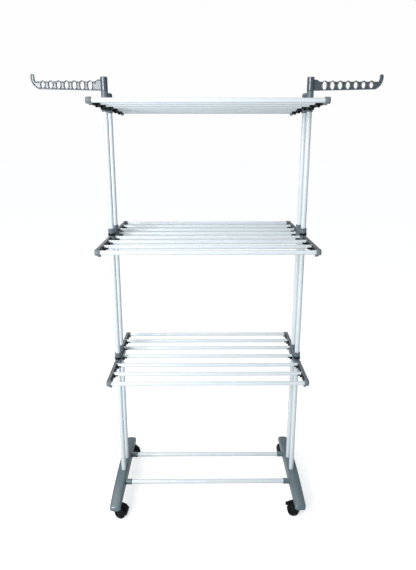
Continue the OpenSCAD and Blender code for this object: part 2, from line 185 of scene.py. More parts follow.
def lathe(profile, segments=48):
    """Turns a profile of (radius, height) points about the Z axis: a point of the surface is
    radius times (cos a, sin a), at the profile's height, for each angle a."""
    p = np.asarray(profile, float)
    a = np.arange(segments) * math.tau / segments
    x = p[:, :1] * np.cos(a)
    y = p[:, :1] * np.sin(a)
    z = np.broadcast_to(p[:, 1:], x.shape)
    return np.stack([x, y, z], -1), True


def arc(cx, cy, rx, ry, start, end, steps):
    """Points of an elliptical arc between two angles in degrees."""
    a = np.radians(np.linspace(start, end, steps + 1))
    return np.stack([cx + rx * np.cos(a), cy + ry * np.sin(a)], -1)


def turned(patch, axis):
    """Turns a surface made about Z so that its axis lies along X or Y."""
    grid, wrap = patch
    order = {"x": [2, 0, 1], "y": [1, 2, 0]}[axis]
    return grid[..., order], wrap


def moved(patch, x=0.0, y=0.0, z=0.0):
    """Shifts a surface."""
    grid, wrap = patch
    return grid + np.array([x, y, z], float), wrap


def flipped(patches, x=1.0, y=1.0):
    """Mirrors surfaces where x or y is -1; build() turns their faces outwards again."""
    return [(grid * np.array([x, y, 1.0]), wrap) for grid, wrap in patches]


def rounded_plan(half_x, half_y, radius, steps=EDGE_STEPS):
    """A rectangle with round corners, anticlockwise."""
    x, y, r = half_x - radius, half_y - radius, radius
    return np.concatenate([
        arc(x, y, r, r, 0, 90, steps), arc(-x, y, r, r, 90, 180, steps),
        arc(-x, -y, r, r, 180, 270, steps), arc(x, -y, r, r, 270, 360, steps)])


def outward(outline):
    """Unit normals of an anticlockwise outline: the mean direction of the two edges at each
    point, turned a quarter turn clockwise. Repeated points share one edge direction."""
    ahead = np.roll(outline, -1, 0) - np.roll(outline, 1, 0)
    length = np.linalg.norm(ahead, axis=1, keepdims=True)
    ahead = ahead / np.maximum(length, 1e-9)
    return np.stack([ahead[:, 1], -ahead[:, 0]], -1)


def slab(outline, low, high, edge, middle=None):
    """A flat block with rounded rims. The outline is carried up the Z axis, drawn in along its
    normals by edge * (1 - sin a) while it climbs edge * (1 - cos a), and both faces close
    towards a middle point."""
    outline = np.asarray(outline, float)
    centre = outline.mean(0) if middle is None else np.asarray(middle, float)
    normal = outward(outline)
    a = np.radians(np.linspace(0, 90, EDGE_STEPS))
    inset = edge * (1 - np.sin(a))
    climb = edge * (1 - np.cos(a))
    insets = np.concatenate([inset, inset[::-1]])
    heights = np.concatenate([low + climb, high - climb[::-1]])
    rings = outline[None] - normal[None] * insets[:, None, None]
    grid = np.concatenate(
        [rings, np.broadcast_to(heights[:, None, None], rings.shape[:2] + (1,))], -1)
    bottom = np.broadcast_to(np.array([*centre, low]), grid[:1].shape)
    top = np.broadcast_to(np.array([*centre, high]), grid[:1].shape)
    return np.concatenate([bottom, grid, top]), True


def slab_between(outline, low, high, edge):
    """A flat block like a slab, but whose faces are strips between the two halves of the
    outline, for outlines that bend back on themselves."""
    outline = np.asarray(outline, float)
    normal = outward(outline)
    a = np.radians(np.linspace(0, 90, EDGE_STEPS))
    inset, climb = edge * (1 - np.sin(a)), edge * (1 - np.cos(a))
    insets = np.concatenate([inset, inset[::-1]])
    heights = np.concatenate([low + climb, high - climb[::-1]])
    rings = outline[None] - normal[None] * insets[:, None, None]
    grid = np.concatenate(
        [rings, np.broadcast_to(heights[:, None, None], rings.shape[:2] + (1,))], -1)
    halfway = [(grid[k:k + 1] + grid[k:k + 1, ::-1]) / 2 for k in (0, -1)]
    return np.concatenate([halfway[0], grid, halfway[1]]), True


def rounded_box(low, high, edge, corner=None):
    """A box with round vertical corners and rounded rims, from a slab."""
    low, high = np.asarray(low, float), np.asarray(high, float)
    half = (high - low) / 2
    plan = rounded_plan(half[0], half[1], corner or edge)
    return moved(slab(plan, low[2], high[2], edge), *(low[:2] + half[:2]), 0)


def ring_profile(r_in, r_out, low, high, edge):
    """Half section of a tube: up the outside and down the inside, with rounded lips."""
    outer = np.concatenate([
        arc(r_out - edge, low + edge, edge, edge, -90, 0, 3),
        arc(r_out - edge, high - edge, edge, edge, 0, 90, 3)])
    inner = np.array([[r_in, high], [r_in, low]])
    return np.concatenate([outer, inner, outer[:1]])


def rod_profile(radius, low, high, edge):
    """Half section of a solid rod with rounded rims."""
    return np.concatenate([
        [[0, low]], arc(radius - edge, low + edge, edge, edge, -90, 0, 3),
        arc(radius - edge, high - edge, edge, edge, 0, 90, 3), [[0, high]]])


def closed_ends(grid):
    """Closes a carried section: its first and last rings are drawn in to their middles."""
    first, last = (np.broadcast_to(ring.mean(1, keepdims=True), ring.shape)
                   for ring in (grid[:1], grid[-1:]))
    return np.concatenate([first, grid, last])


def blend(a, b, t):
    """Goes smoothly from 0 at a to 1 at b."""
    s = np.clip((np.asarray(t, float) - a) / (b - a), 0, 1)
    return s * s * (3 - 2 * s)


# ---------------------------------------------------------------- building

def build(name, patches, finish, body, replaced=(), sharp=32.0, bevel=0.0):
    """Joins grids into one closed mesh: corners at the same place become one, faces that have
    shrunk to a line go, and the rest turn outwards. The piece rides on a body of the frame."""
    points, faces, count = [], [], 0
    for grid, wrap in patches:
        rows, columns = grid.shape[:2]
        points.append(grid.reshape(-1, 3))
        faces.append(sweep_faces(rows, columns, wrap) + count)
        count += rows * columns
    points, faces = np.concatenate(points), np.concatenate(faces)
    key = np.round(points * 1e3).astype(np.int64)
    _, first, same = np.unique(key, axis=0, return_index=True, return_inverse=True)
    faces = same.reshape(-1)[faces]
    keep = faces != np.roll(faces, -1, axis=1)
    corners = keep.sum(1)
    quads = faces[corners == 4]
    triangles = faces[corners == 3][keep[corners == 3]].reshape(-1, 3)
    mesh = bpy.data.meshes.new(name)
    mesh.from_pydata((points[first] / MM).tolist(), [], quads.tolist() + triangles.tolist())
    tidy = bmesh.new()
    tidy.from_mesh(mesh)
    loose = [v for v in tidy.verts if not v.link_faces]
    bmesh.ops.delete(tidy, geom=loose, context="VERTS")
    bmesh.ops.recalc_face_normals(tidy, faces=tidy.faces)
    tidy.to_mesh(mesh)
    tidy.free()
    mesh.validate()
    mesh.shade_smooth()
    mesh.set_sharp_from_angle(angle=math.radians(sharp))
    mesh.materials.append(finish)
    piece = bpy.data.objects.new(name, mesh)
    bpy.context.scene.collection.objects.link(piece)
    if bevel:
        rim = piece.modifiers.new("rounded_rims", "BEVEL")
        rim.width = bevel / MM
        rim.segments = 2
        rim.limit_method = "ANGLE"
        rim.angle_limit = math.radians(50)
        rim.harden_normals = False
    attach(piece, body)
    if replaced:
        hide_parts(*replaced)
    return piece


# ---------------------------------------------------------------- finishes

def linear(hex_colour):
    """An sRGB hex colour as linear RGBA."""
    s = np.array([int(hex_colour[i:i + 2], 16) for i in (0, 2, 4)]) / 255
    rgb = np.where(s <= 0.04045, s / 12.92, ((s + 0.055) / 1.055) ** 2.4)
    return (*rgb.tolist(), 1.0)


def shaded(colour, factor):
    """A linear colour made darker or lighter."""
    return tuple(min(1.0, c * factor) for c in colour[:3]) + (1.0,)


def add_node(tree, kind, settings=None, sockets=None, links=None):
    """Adds a node, sets its properties and sockets, and links sockets to other nodes' outputs."""
    made = tree.nodes.new(kind)
    for key, value in (settings or {}).items():
        setattr(made, key, value)
    for key, value in (sockets or {}).items():
        made.inputs[key].default_value = value
    for key, output in (links or {}).items():
        tree.links.new(output, made.inputs[key])
    return made


def new_finish(name, surface):
    """An empty node material with a Principled shader, whose constants are surface."""
    finish = bpy.data.materials.new(name)
    finish.use_nodes = True
    tree = finish.node_tree
    tree.nodes.clear()
    shader = add_node(tree, "ShaderNodeBsdfPrincipled", sockets=surface)
    add_node(tree, "ShaderNodeOutputMaterial", links={"Surface": shader.outputs["BSDF"]})
    where = add_node(tree, "ShaderNodeTexCoord").outputs["Object"]
    return finish, tree, shader, where


def noise_at(tree, where, size_mm, detail=2.0, rough=0.5, stretch=None):
    """Noise whose patches are about size_mm across; stretch lengthens them along the axes."""
    if stretch:
        where = add_node(tree, "ShaderNodeMapping", sockets={"Scale": stretch},
                         links={"Vector": where}).outputs["Vector"]
    made = add_node(tree, "ShaderNodeTexNoise", links={"Vector": where},
                    sockets={"Scale": MM / size_mm, "Detail": detail, "Roughness": rough})
    return made.outputs["Fac"]


def spread(tree, value, low, high, from_low=0.3, from_high=0.7):
    """Maps a pattern's middle range to low..high."""
    return add_node(tree, "ShaderNodeMapRange", links={"Value": value}, sockets={
        "From Min": from_low, "From Max": from_high, "To Min": low, "To Max": high}).outputs["Result"]


def two_tone(tree, value, first, second):
    """Mixes two colours by a pattern."""
    mix = add_node(tree, "ShaderNodeMix", {"data_type": "RGBA"}, links={"Factor": value})
    tones = [socket for socket in mix.inputs if socket.type == "RGBA"]
    tones[0].default_value, tones[1].default_value = first, second
    return next(o for o in mix.outputs if o.type == "RGBA")


def bump(tree, shader, height, depth_mm, strength=1.0):
    """Raises the shading by a pattern that is depth_mm deep."""
    made = add_node(tree, "ShaderNodeBump", links={"Height": height},
                    sockets={"Strength": strength, "Distance": depth_mm / MM})
    tree.links.new(made.outputs["Normal"], shader.inputs["Normal"])


def powder_coated_steel(settings):
    """Gloss white powder coat baked on steel tube: a hard clear-looking skin with a faint
    orange peel, and a slightly cooler tone where it lies thinner."""
    white = linear(settings.white)
    finish, tree, shader, where = new_finish("powder_coated_steel", {
        "IOR": 1.5, "Metallic": 0.0, "Coat Weight": 0.35, "Coat Roughness": 0.12, "Coat IOR": 1.5})
    cloudy = noise_at(tree, where, 120, 3.0)
    tone = two_tone(tree, spread(tree, cloudy, 0.0, 1.0), white, shaded(white, 0.955))
    tree.links.new(tone, shader.inputs["Base Color"])
    peel = noise_at(tree, where, 1.6, 2.0)
    tree.links.new(spread(tree, noise_at(tree, where, 14, 4.0), settings.gloss - 0.05,
                          settings.gloss + 0.08), shader.inputs["Roughness"])
    bump(tree, shader, peel, 0.03, 0.35)
    return finish


def moulded_plastic(name, hex_colour, roughness, grain_mm, grain_depth, contrast=0.9, skin=0.12,
                    ior=1.49):
    """Injection-moulded polypropylene, or nylon for the black pieces: satin, with a fine
    spark-eroded grain from the mould, soft flow clouds in the colour, and scattered rub marks that shine a little more. skin is
    the share of the smooth outer layer that mirrors the window."""
    colour = linear(hex_colour)
    finish, tree, shader, where = new_finish(name, {
        "IOR": ior, "Metallic": 0.0, "Coat Weight": skin, "Coat Roughness": 0.22})
    flow = noise_at(tree, where, 45, 4.0, 0.55, stretch=(1.0, 0.45, 1.0))
    tone = two_tone(tree, spread(tree, flow, 0.0, 1.0), shaded(colour, contrast),
                    shaded(colour, 1.06))
    tree.links.new(tone, shader.inputs["Base Color"])
    rubbed = noise_at(tree, where, 9, 5.0, 0.6)
    tree.links.new(spread(tree, rubbed, roughness + 0.05, roughness - 0.05),
                   shader.inputs["Roughness"])
    bump(tree, shader, noise_at(tree, where, grain_mm, 3.0), grain_depth, 0.5)
    return finish


def zinc_plated_steel(settings):
    """Bright zinc on turned steel: metallic, with fine turning marks round the axis."""
    finish, tree, shader, where = new_finish("zinc_plated_steel", {"Metallic": 1.0})
    steel = linear(settings.steel)
    cloudy = noise_at(tree, where, 6, 3.0)
    tree.links.new(two_tone(tree, cloudy, steel, shaded(steel, 0.8)), shader.inputs["Base Color"])
    lines = noise_at(tree, where, 0.8, 2.0, stretch=(0.2, 0.2, 4.0))
    tree.links.new(spread(tree, lines, 0.24, 0.4), shader.inputs["Roughness"])
    bump(tree, shader, lines, 0.02, 0.4)
    return finish


def finish_named(name):
    """Makes a finish the first time it is asked for."""
    made = bpy.data.materials.get(name)
    if made:
        return made
    settings = bpy.context.scene.rack_finish
    makers = {
        "powder_coated_steel": lambda: powder_coated_steel(settings),
        "zinc_plated_steel": lambda: zinc_plated_steel(settings),
        "moulded_polypropylene_connector": lambda: moulded_plastic(
            "moulded_polypropylene_connector", settings.grey, 0.42, 0.9, 0.05),
        "moulded_polypropylene_arm": lambda: moulded_plastic(
            "moulded_polypropylene_arm", settings.arm_grey, 0.28, 0.9, 0.004, 0.96, 0.9),
        "moulded_polypropylene_rail": lambda: moulded_plastic(
            "moulded_polypropylene_rail", settings.rail_grey, 0.42, 0.9, 0.03, 0.93, 0.15),
        "moulded_polypropylene_foot": lambda: moulded_plastic(
            "moulded_polypropylene_foot", settings.foot_grey, 0.34, 0.9, 0.03, 0.93, 0.5),
        "moulded_nylon_black": lambda: moulded_plastic(
            "moulded_nylon_black", settings.black, 0.36, 0.7, 0.03, 0.75, 0.0, 1.3),
        "moulded_nylon_tread": lambda: moulded_plastic(
            "moulded_nylon_tread", settings.black, 0.4, 0.5, 0.05, 0.7, 0.0, 1.3),
    }
    return makers[name]()


# ---------------------------------------------------------------- tubes

def tube_patch(radius, wall, low, high):
    """A tube along Z whose lips are rounded over by the cut and the coating."""
    return lathe(ring_profile(radius - wall, radius, low, high, 0.45), 56)


def post_patches(node):
    low, high = box_mm(node)
    return [moved(tube_patch(POST_R, TUBE_WALL, low[2], high[2]), x, y)
            for x in (-POST_X, POST_X) for y in (-POST_Y, POST_Y)]


class RACK_OT_tubes(bpy.types.Operator):
    """Builds the post sections, base bars, fixed bars and wing bars"""

    bl_idname = "rack.tubes"
    bl_label = "Tubes"

    def execute(self, context):
        coat = finish_named("powder_coated_steel")
        for section in ("lower", "middle", "upper"):
            node = f"posts_{section}"
            build(f"post_tubes_{section}", post_patches(node), coat, "frame", [node])
        reach = box_mm("base_bars")[1][0]
        build("base_tubes",
              [moved(turned(tube_patch(POST_R, TUBE_WALL, -reach, reach), "x"), 0, y, BASE_Z)
               for y in (-BASE_Y, BASE_Y)], coat, "frame", ["base_bars"])
        reach = FIXED_HIGH[0]
        bar = turned(tube_patch(BAR_R, TUBE_WALL, -reach, reach), "x")
        build("fixed_bar_tubes", [moved(bar, 0, y, z) for y, z in fixed_bar_places()],
              coat, "frame", ["fixed_bars"])
        reach = BAR_HIGH[0]
        bar = turned(tube_patch(BAR_R, TUBE_WALL, -reach, reach), "x")
        for tier in TIERS:
            for wing in WINGS:
                body = f"wing_{tier}_{wing}"
                build(f"{body}_tubes",
                      [moved(bar, 0, sign_of(wing) * y, TIER_Z[tier]) for y in wing_bar_ys(tier)],
                      coat, body, [f"{body}_bars"])
        return {"FINISHED"}


# ---------------------------------------------------------------- connectors

COLLAR_R = 12.4
FLARE_R = 13.0
COLLAR_LOW, COLLAR_HIGH = -19.0, 36.0
BLOCK_IN = 12.8
BLOCK_OUT = 11.0
BLOCK_Y = 56.0
BLOCK_LOW, BLOCK_HIGH = -14.0, 9.0
LUG_W = 10.6
LUG_R = 8.7
SPIGOT_R = 8.0
CLIP_Z, CLIP_H, CLIP_T, CLIP_GAP = 13.6, 8.4, 1.4, 0.15


def collar_patch(high):
    """A collar round a post, with a rolled rim at the top and a mould line below it."""
    r_in = POST_R + 0.06
    outer = np.concatenate([
        [[r_in, COLLAR_LOW]], arc(COLLAR_R - 1.2, COLLAR_LOW + 1.2, 1.2, 1.2, -90, 0, 3),
        [[COLLAR_R, high - 6], [COLLAR_R + 0.2, high - 4.4]],
        arc(FLARE_R - 1.1, high - 1.3, 1.1, 1.3, -40, 90, 6),
        [[r_in + 0.7, high], [r_in, high - 0.7], [r_in, COLLAR_LOW]]])
    return lathe(outer, 56)


def plain_collar_patch(high, crown):
    """A closed collar whose top is crowned: a quarter ellipse from the wall to the axis."""
    rim = arc(COLLAR_R - crown, high - crown, crown, crown, 0, 90, 6)
    return lathe(np.concatenate([
        [[0, COLLAR_LOW]], arc(COLLAR_R - 1.2, COLLAR_LOW + 1.2, 1.2, 1.2, -90, 0, 3),
        rim, [[0, high]]]), 56)


def lug_outline():
    """Side view of a hinge lug: half a circle about the pin, carried back to the block."""
    return np.concatenate([
        arc(HINGE_Y, 0, LUG_R, LUG_R, -90, 90, 16),
        [[BLOCK_Y - 3, LUG_R], [BLOCK_Y - 3, -LUG_R]]])


def connector_patches(is_top):
    """One connector about its post line, for the right-hand side, at its shelf's height."""
    high = box_mm("connector_top_right")[1][2] - TIER_Z["top"] if is_top else COLLAR_HIGH
    neck = HUB_TOP - HUB_L - HUB_GAP - TIER_Z["top"]
    parts = [rounded_box([-BLOCK_IN, -BLOCK_Y, BLOCK_LOW], [BLOCK_OUT, BLOCK_Y, BLOCK_HIGH], 1.4, 5)]
    if is_top:
        parts.append(moved(plain_collar_patch(neck - 0.3, 1.0), 0, -POST_Y))
        parts.append(moved(plain_collar_patch(neck, 7.5), 0, POST_Y))
        parts.append(moved(lathe(rod_profile(SPIGOT_R, neck - 4, high, 1.0)), 0, -POST_Y))
        wall = [[-POST_Y, BLOCK_LOW + 2], [POST_Y, BLOCK_LOW + 2], [POST_Y, neck - 9.5],
                [-POST_Y + 16, neck - 5], [-POST_Y, neck - 4]]
        parts.append(turned(slab(wall, -7.8, 7.8, 1.8, middle=(0, 8)), "x"))
    else:
        parts += [moved(collar_patch(high), 0, y) for y in (-POST_Y, POST_Y)]
        parts.append(rounded_box([-8.5, -POST_Y + 8, BLOCK_HIGH - 2], [8.5, POST_Y - 8, 22], 1.8, 3))
    lug_x = RAIL_OUT - RAIL_W - HINGE_GAP - LUG_W - POST_X
    side = slab(lug_outline(), lug_x, lug_x + LUG_W, 1.1, middle=(HINGE_Y - 4, 0))
    for turn in (-1.0, 1.0):
        parts += flipped([turned(side, "x")], y=turn)
    # Raised panels on the outer face, as the mould leaves them.
    for y in (-26.0, 0.0, 26.0):
        parts.append(rounded_box([BLOCK_OUT - 1, y - 9, BLOCK_LOW + 4],
                                 [BLOCK_OUT - 0.05, y + 9, BLOCK_HIGH - 4], 0.5, 2))
    return parts


class RACK_OT_connectors(bpy.types.Operator):
    """Builds the connectors that join the posts at each shelf"""

    bl_idname = "rack.connectors"
    bl_label = "Connectors"

    def execute(self, context):
        grey = finish_named("moulded_polypropylene_connector")
        for tier in TIERS:
            shape = connector_patches(tier == "top")
            for side in SIDES:
                node = f"connector_{tier}_{side}"
                placed = [moved(p, POST_X, 0, TIER_Z[tier]) for p in shape]
                build(f"{node}_moulding", flipped(placed, x=sign_of(side)),
                      grey, "frame", [node])
        return {"FINISHED"}


# ---------------------------------------------------------------- pins

REST_T = 5.0


def pin_head(radius, base, height):
    """Half section of a domed head: a quarter ellipse from its rim to the axis."""
    return np.concatenate([[[0, base], [radius - 0.3, base], [radius, base + 0.3]],
                           arc(0, base + height * 0.35, radius, height * 0.65, 0, 90, 7)])


def clip_patch():
    """A clip round half a collar: a strip section with round corners, carried along an arc and
    closed at both ends by a bead."""
    half_h, mid_r, half_t = CLIP_H / 2, COLLAR_R + CLIP_GAP + CLIP_T / 2, CLIP_T / 2
    section = rounded_plan(half_t, half_h, half_t * 0.8, 3)
    a = np.radians(np.linspace(-8, 188, 33))
    swell = 1 - 0.45 * np.clip(1 - np.minimum(a - a[0], a[-1] - a) / 0.05, 0, 1)
    r = mid_r + section[None, :, 0] * swell[:, None]
    z = section[None, :, 1] * swell[:, None]
    grid = np.stack([r * np.cos(a)[:, None], r * np.sin(a)[:, None], z], -1)
    return closed_ends(grid), True


class RACK_OT_pins(bpy.types.Operator):
    """Builds the hinge pins, the wings' rests and the clips that fix the posts"""

    bl_idname = "rack.pins"
    bl_label = "Pins"

    def execute(self, context):
        black = finish_named("moulded_nylon_black")
        low, high = box_mm("hinge_pins")
        shank_in = RAIL_OUT - RAIL_W - LUG_W
        head_at = RAIL_OUT + 0.4
        shank = turned(lathe(rod_profile(3.0, shank_in, head_at + 0.5, 0.5), 32), "x")
        head = turned(lathe(pin_head(5.5, head_at, high[0] - head_at), 40), "x")
        pins = [moved(p, 0, y, TIER_Z[t]) for t in TIERS
                for y in (-HINGE_Y, HINGE_Y) for p in (shank, head)]
        build("hinge_pin_set", flipped(pins) + flipped(pins, x=-1), black, "frame",
              ["hinge_pins"])
        rest = box_mm("hinge_rests")[1]
        low = rest[2] - REST_T - TIER_Z["top"]
        inner = RAIL_OUT - RAIL_W - HINGE_GAP - LUG_W
        shelf = rounded_box([inner, BLOCK_Y + 0.1, low], [rest[0], rest[1], low + REST_T], 1.3, 1.6)
        lip = rounded_box([inner + 1.5, rest[1] - 2.4, low + 4],
                          [rest[0] - 1.5, rest[1] - 0.6, low + REST_T], 0.3)
        rests = [moved(p, z=TIER_Z[t]) for t in TIERS for p in (shelf, lip)]
        rests += flipped(rests, y=-1)
        build("hinge_rest_set", rests + flipped(rests, x=-1), black, "frame",
              ["hinge_rests"])
        shank = turned(lathe(rod_profile(2.0, POST_R + 0.3, COLLAR_R + 1.0, 0.4), 28), "x")
        clips = [moved(p, POST_X, POST_Y, TIER_Z[t] + CLIP_Z)
                 for t in TIERS for p in (clip_patch(), shank)]
        clips += flipped(clips, y=-1)
        build("post_clip_set", clips + flipped(clips, x=-1), black, "frame",
              ["post_clips"])
        return {"FINISHED"}


# ---------------------------------------------------------------- wings

RAIL_W = 12.0
RAIL_H = 17.0
NOSE_R = 8.5
ELBOW_R = 10.5
ELBOW_IN = 6.0
NECK_L = 26.0
CRADLE_L = 17.0
CRADLE_R = BAR_R + 1.8
CRADLE_TOP = -1.0
CRADLE_GAP = 0.05
LUMP_L = 7.0
LUMP_DROP = 9.0
LUMP_R = 6.5
STRIP_T = 3.5
STRIP_LOW, STRIP_HIGH = -11.0, 6.5
REST_L = 9.0


def rail_patch(shape, hinge, last):
    """A rail carried from its hinge to its outer bar. Its section is a rectangle with round
    corners whose top holds a channel. Half the height follows a circle about the pin at the
    nose, both sizes swell towards the elbow, and ribs lift the channel's floor."""
    nose = hinge - NOSE_R * np.cos(np.radians(np.linspace(4, 90, 9)))
    neck_at = last - NECK_L
    rib_at = np.arange(hinge + 16, neck_at - 8, shape.rib_pitch)
    half_rib = shape.rib_t / 2
    steps = np.array([-half_rib - 0.5, -half_rib, half_rib, half_rib + 0.5])
    ribs = (rib_at[:, None] + steps).reshape(-1)
    neck = np.linspace(neck_at, last, 12)
    y = np.unique(np.concatenate([nose, [hinge + 10, hinge + 11.5], ribs, [neck_at - 2], neck]))
    half_h = np.where(y < hinge, np.sqrt(np.maximum(NOSE_R ** 2 - (hinge - y) ** 2, 0)), RAIL_H / 2)
    swell = blend(neck_at, last - 5, y)
    half_h = half_h + swell * (ELBOW_R - 0.6 - RAIL_H / 2)
    width = RAIL_W + swell * 6.5
    to_rib = np.min(np.abs(y[:, None] - rib_at[None]), axis=1)
    in_channel = blend(hinge + 10, hinge + 11.5, y) * (1 - blend(neck_at - 3.5, neck_at - 2, y))
    depth = shape.channel_depth * in_channel * blend(half_rib, half_rib + 0.5, to_rib)
    corner = np.minimum(1.8, half_h * 0.6)
    turn = np.radians(np.linspace(0, 90, 4))
    x0, x1 = RAIL_W - width, np.full_like(y, RAIL_W)

    def bend(cx, cz, start):
        angle = turn + math.radians(start)
        return (cx[:, None] + corner[:, None] * np.cos(angle),
                cz[:, None] + corner[:, None] * np.sin(angle))

    lip = 2.6
    low_left = bend(x0 + corner, -half_h + corner, 180)
    low_right = bend(x1 - corner, -half_h + corner, 270)
    top_right = bend(x1 - corner, half_h - corner, 0)
    top_left = bend(x0 + corner, half_h - corner, 90)
    channel_x = np.stack([x1 - lip, x1 - lip - 0.3, x0 + lip + 0.3, x0 + lip], -1)
    channel_z = np.stack([half_h, half_h - depth, half_h - depth, half_h], -1)
    x = np.concatenate([low_left[0], low_right[0], top_right[0], channel_x, top_left[0]], 1)
    z = np.concatenate([low_left[1], low_right[1], top_right[1], channel_z, top_left[1]], 1)
    grid = np.stack([x, np.broadcast_to(y[:, None], x.shape), z], -1)
    return closed_ends(grid), True


def elbow_patches(last):
    """The round corner that takes the outer bar's end, and the clip under it."""
    length = RAIL_W + ELBOW_IN
    profile = np.concatenate([
        [[0, 0]], [[BAR_R + 0.1, 0]], arc(ELBOW_R - 0.8, 0.8, 0.8, 0.8, -90, 0, 3),
        [[ELBOW_R, length - 8.5]],
        arc(ELBOW_R - 8, length - 8, 8, 8, 0, 90, 8), [[0, length]]])
    barrel = turned(lathe(profile, 48), "x")
    clip = turned(lathe(np.concatenate([
        [[0, 0]], arc(5.5 - 1.8, 1.8, 1.8, 1.8, -90, 0, 4),
        arc(5.5 - 2.4, 11 - 2.4, 2.4, 2.4, 0, 90, 4), [[0, 11]]]), 36), "x")
    return [moved(barrel, -ELBOW_IN, last), moved(clip, -ELBOW_IN - 3, last, -ELBOW_R + 1.5)]


def seat_outline(outside):
    """Closes an outline that opens upwards with the bar's round seat, an arc of the bar."""
    half = math.degrees(math.asin(CRADLE_TOP / BAR_R))
    return np.concatenate([outside, arc(0, 0, BAR_R + 0.06, BAR_R + 0.06, half, -180 - half, 22)])


def cradle_patches():
    """The cradle under a bar's end, along -X from x = 0: a gutter whose outline is two arcs,
    and a foot whose outline is two circles joined by their common tangents."""
    half = math.degrees(math.asin(CRADLE_TOP / CRADLE_R))
    gutter = seat_outline(arc(0, 0, CRADLE_R, CRADLE_R, 180 - half, 360 + half, 22))
    r = CRADLE_R - 0.4
    lean = math.degrees(math.asin((r - LUMP_R) / LUMP_DROP))
    foot = seat_outline(np.concatenate([
        arc(0, 0, r, r, 180 - half, 180 + lean, 3),
        arc(0, -LUMP_DROP, LUMP_R, LUMP_R, 180 + lean, 360 - lean, 16),
        arc(0, 0, r, r, -lean, half, 3)]))
    patches = []
    for outline, length in ((gutter, CRADLE_L), (foot, LUMP_L)):
        grid, wrap = slab_between(outline, 0.0, length, 0.6)
        patches.append((grid[..., [2, 0, 1]] * np.array([-1.0, 1.0, 1.0]), wrap))
    return patches


def black_and_shade_strip_patch(first_y, last_y):
    """The strip along a rail's inner face: a block with round corners and rims. Built black, it is
    partly painted shade that darkens the inner face between the bars where shade falls, and partly
    black plastic on that face.
    """
    return rounded_box([-STRIP_T, first_y, STRIP_LOW], [0, last_y, STRIP_HIGH], 0.9, 1.4)


class RACK_OT_wings(bpy.types.Operator):
    """Builds the wings' side rails with their elbows, and the cradles under the bars' ends"""

    bl_idname = "rack.wings"
    bl_label = "Wings"

    def execute(self, context):
        shape = context.scene.rack_shape
        grey = finish_named("moulded_polypropylene_rail")
        black = finish_named("moulded_nylon_black")
        rail_in = RAIL_OUT - RAIL_W
        for tier in TIERS:
            ys = wing_bar_ys(tier)
            parts = [rail_patch(shape, HINGE_Y, ys[2])] + elbow_patches(ys[2])
            parts = [moved(p, rail_in, 0, TIER_Z[tier]) for p in parts]
            # Black strip over the rail's inner face: partly painted shade, partly black plastic.
            strip = black_and_shade_strip_patch(HINGE_Y + REST_L + 1, ys[2] - ELBOW_R - 1)
            cradles = [moved(strip, rail_in - CRADLE_GAP, 0, TIER_Z[tier])]
            cradles += [moved(p, rail_in - CRADLE_GAP, y, TIER_Z[tier])
                        for y in ys[:2] for p in cradle_patches()]
            for wing in WINGS:
                body = f"wing_{tier}_{wing}"
                for side in SIDES:
                    build(f"{body}_rail_{side}_moulding",
                          flipped(parts, sign_of(side), sign_of(wing)),
                          grey, body, [f"{body}_rail_{side}"])
                both = flipped(cradles, 1, sign_of(wing)) + flipped(cradles, -1, sign_of(wing))
                build(f"{body}_cradles", both, black, body, [f"{body}_sockets"])
        cradles = [moved(p, POST_X - BLOCK_IN - CRADLE_GAP, y, z)
                   for y, z in fixed_bar_places() for p in cradle_patches()]
        build("fixed_bar_cradles", cradles + flipped(cradles, x=-1), black, "frame",
              ["fixed_bar_sockets"])
        return {"FINISHED"}


# ---------------------------------------------------------------- arms

HUB_R = 12.5
HUB_L = 46.0
HOLES = 7
HOLE_PITCH = 27.7
HOOK_R = 42.0
HOOK_T = 12.5
HOOK_START, HOOK_END, HOOK_MID = -68.0, 8.0, -28.0
ARM_REACH = ARM_HIGH[0] - POST_X
HOOK_X = ARM_REACH - HOOK_R
HOOK_Z = -2.05
HOLE_MARGIN = 41.3
HOLE_FIRST = ARM_REACH - HOLE_MARGIN - HOLE_PITCH * (HOLES - 1)
RIM_HALF = 1.9
RIM_STEPS = np.array([0, 0.25, 0.7, 1.3, 1.9, 2.5, 3.1, 3.55, 3.8])
EDGE_SHARES = np.array([0, 0.008, 0.022, 0.042, 0.062, 0.082, 0.1, 0.114, 0.124])
ACROSS = np.concatenate([EDGE_SHARES, [0.22, 0.36, 0.5, 0.64, 0.78], 1 - EDGE_SHARES[::-1]])


def hole_shape(i):
    """Centre and half axes of hanger hole i: the holes get smaller towards the hook."""
    f = i / (HOLES - 1)
    return HOLE_FIRST + i * HOLE_PITCH, -28.6 + 2 * f, 7.5 - f, 14 - 3.8 * f


def blade_low(x):
    """Lower edge of the blade: a straight line that rises a little to the hook."""
    end_x = HOOK_X + HOOK_R * math.cos(math.radians(HOOK_START))
    end_z = HOOK_Z + HOOK_R * math.sin(math.radians(HOOK_START))
    return -HUB_L + (end_z + HUB_L) * np.asarray(x, float) / end_x


def blade_top(x):
    """Upper edge of the blade: a step down from the hub, then a scallop over each hole, which
    is a bell curve of the distance to the hole."""
    x = np.asarray(x, float)
    edge = -8.5 - 6.8 * blend(20, 33, x)
    for i in range(HOLES):
        cx = hole_shape(i)[0]
        edge = edge + 4.2 * np.exp(-((x - cx) / 4.8) ** 2)
    return edge


def bead(gap):
    """Height of the rounded rim: half an ellipse of the distance to the nearest edge."""
    t = (np.clip(gap, 0.0, 2 * RIM_HALF) - RIM_HALF) / RIM_HALF
    return np.sqrt(np.maximum(1 - t * t, 0.0))


def blade_thickness(points, shape):
    """Half thickness of the blade: the web's, and near a hole or an edge the rim's."""
    x, z = points[..., 0], points[..., 1]
    gap = np.minimum(blade_top(x) - z, z - blade_low(x))
    for i in range(HOLES):
        cx, cz, a, b = hole_shape(i)
        angle = np.arctan2((z - cz) / b, (x - cx) / a)
        edge = np.hypot(a * np.cos(angle), b * np.sin(angle))
        gap = np.minimum(gap, np.hypot(x - cx, z - cz) - edge)
    return shape.arm_web + (shape.arm_rim - shape.arm_web) * bead(gap)


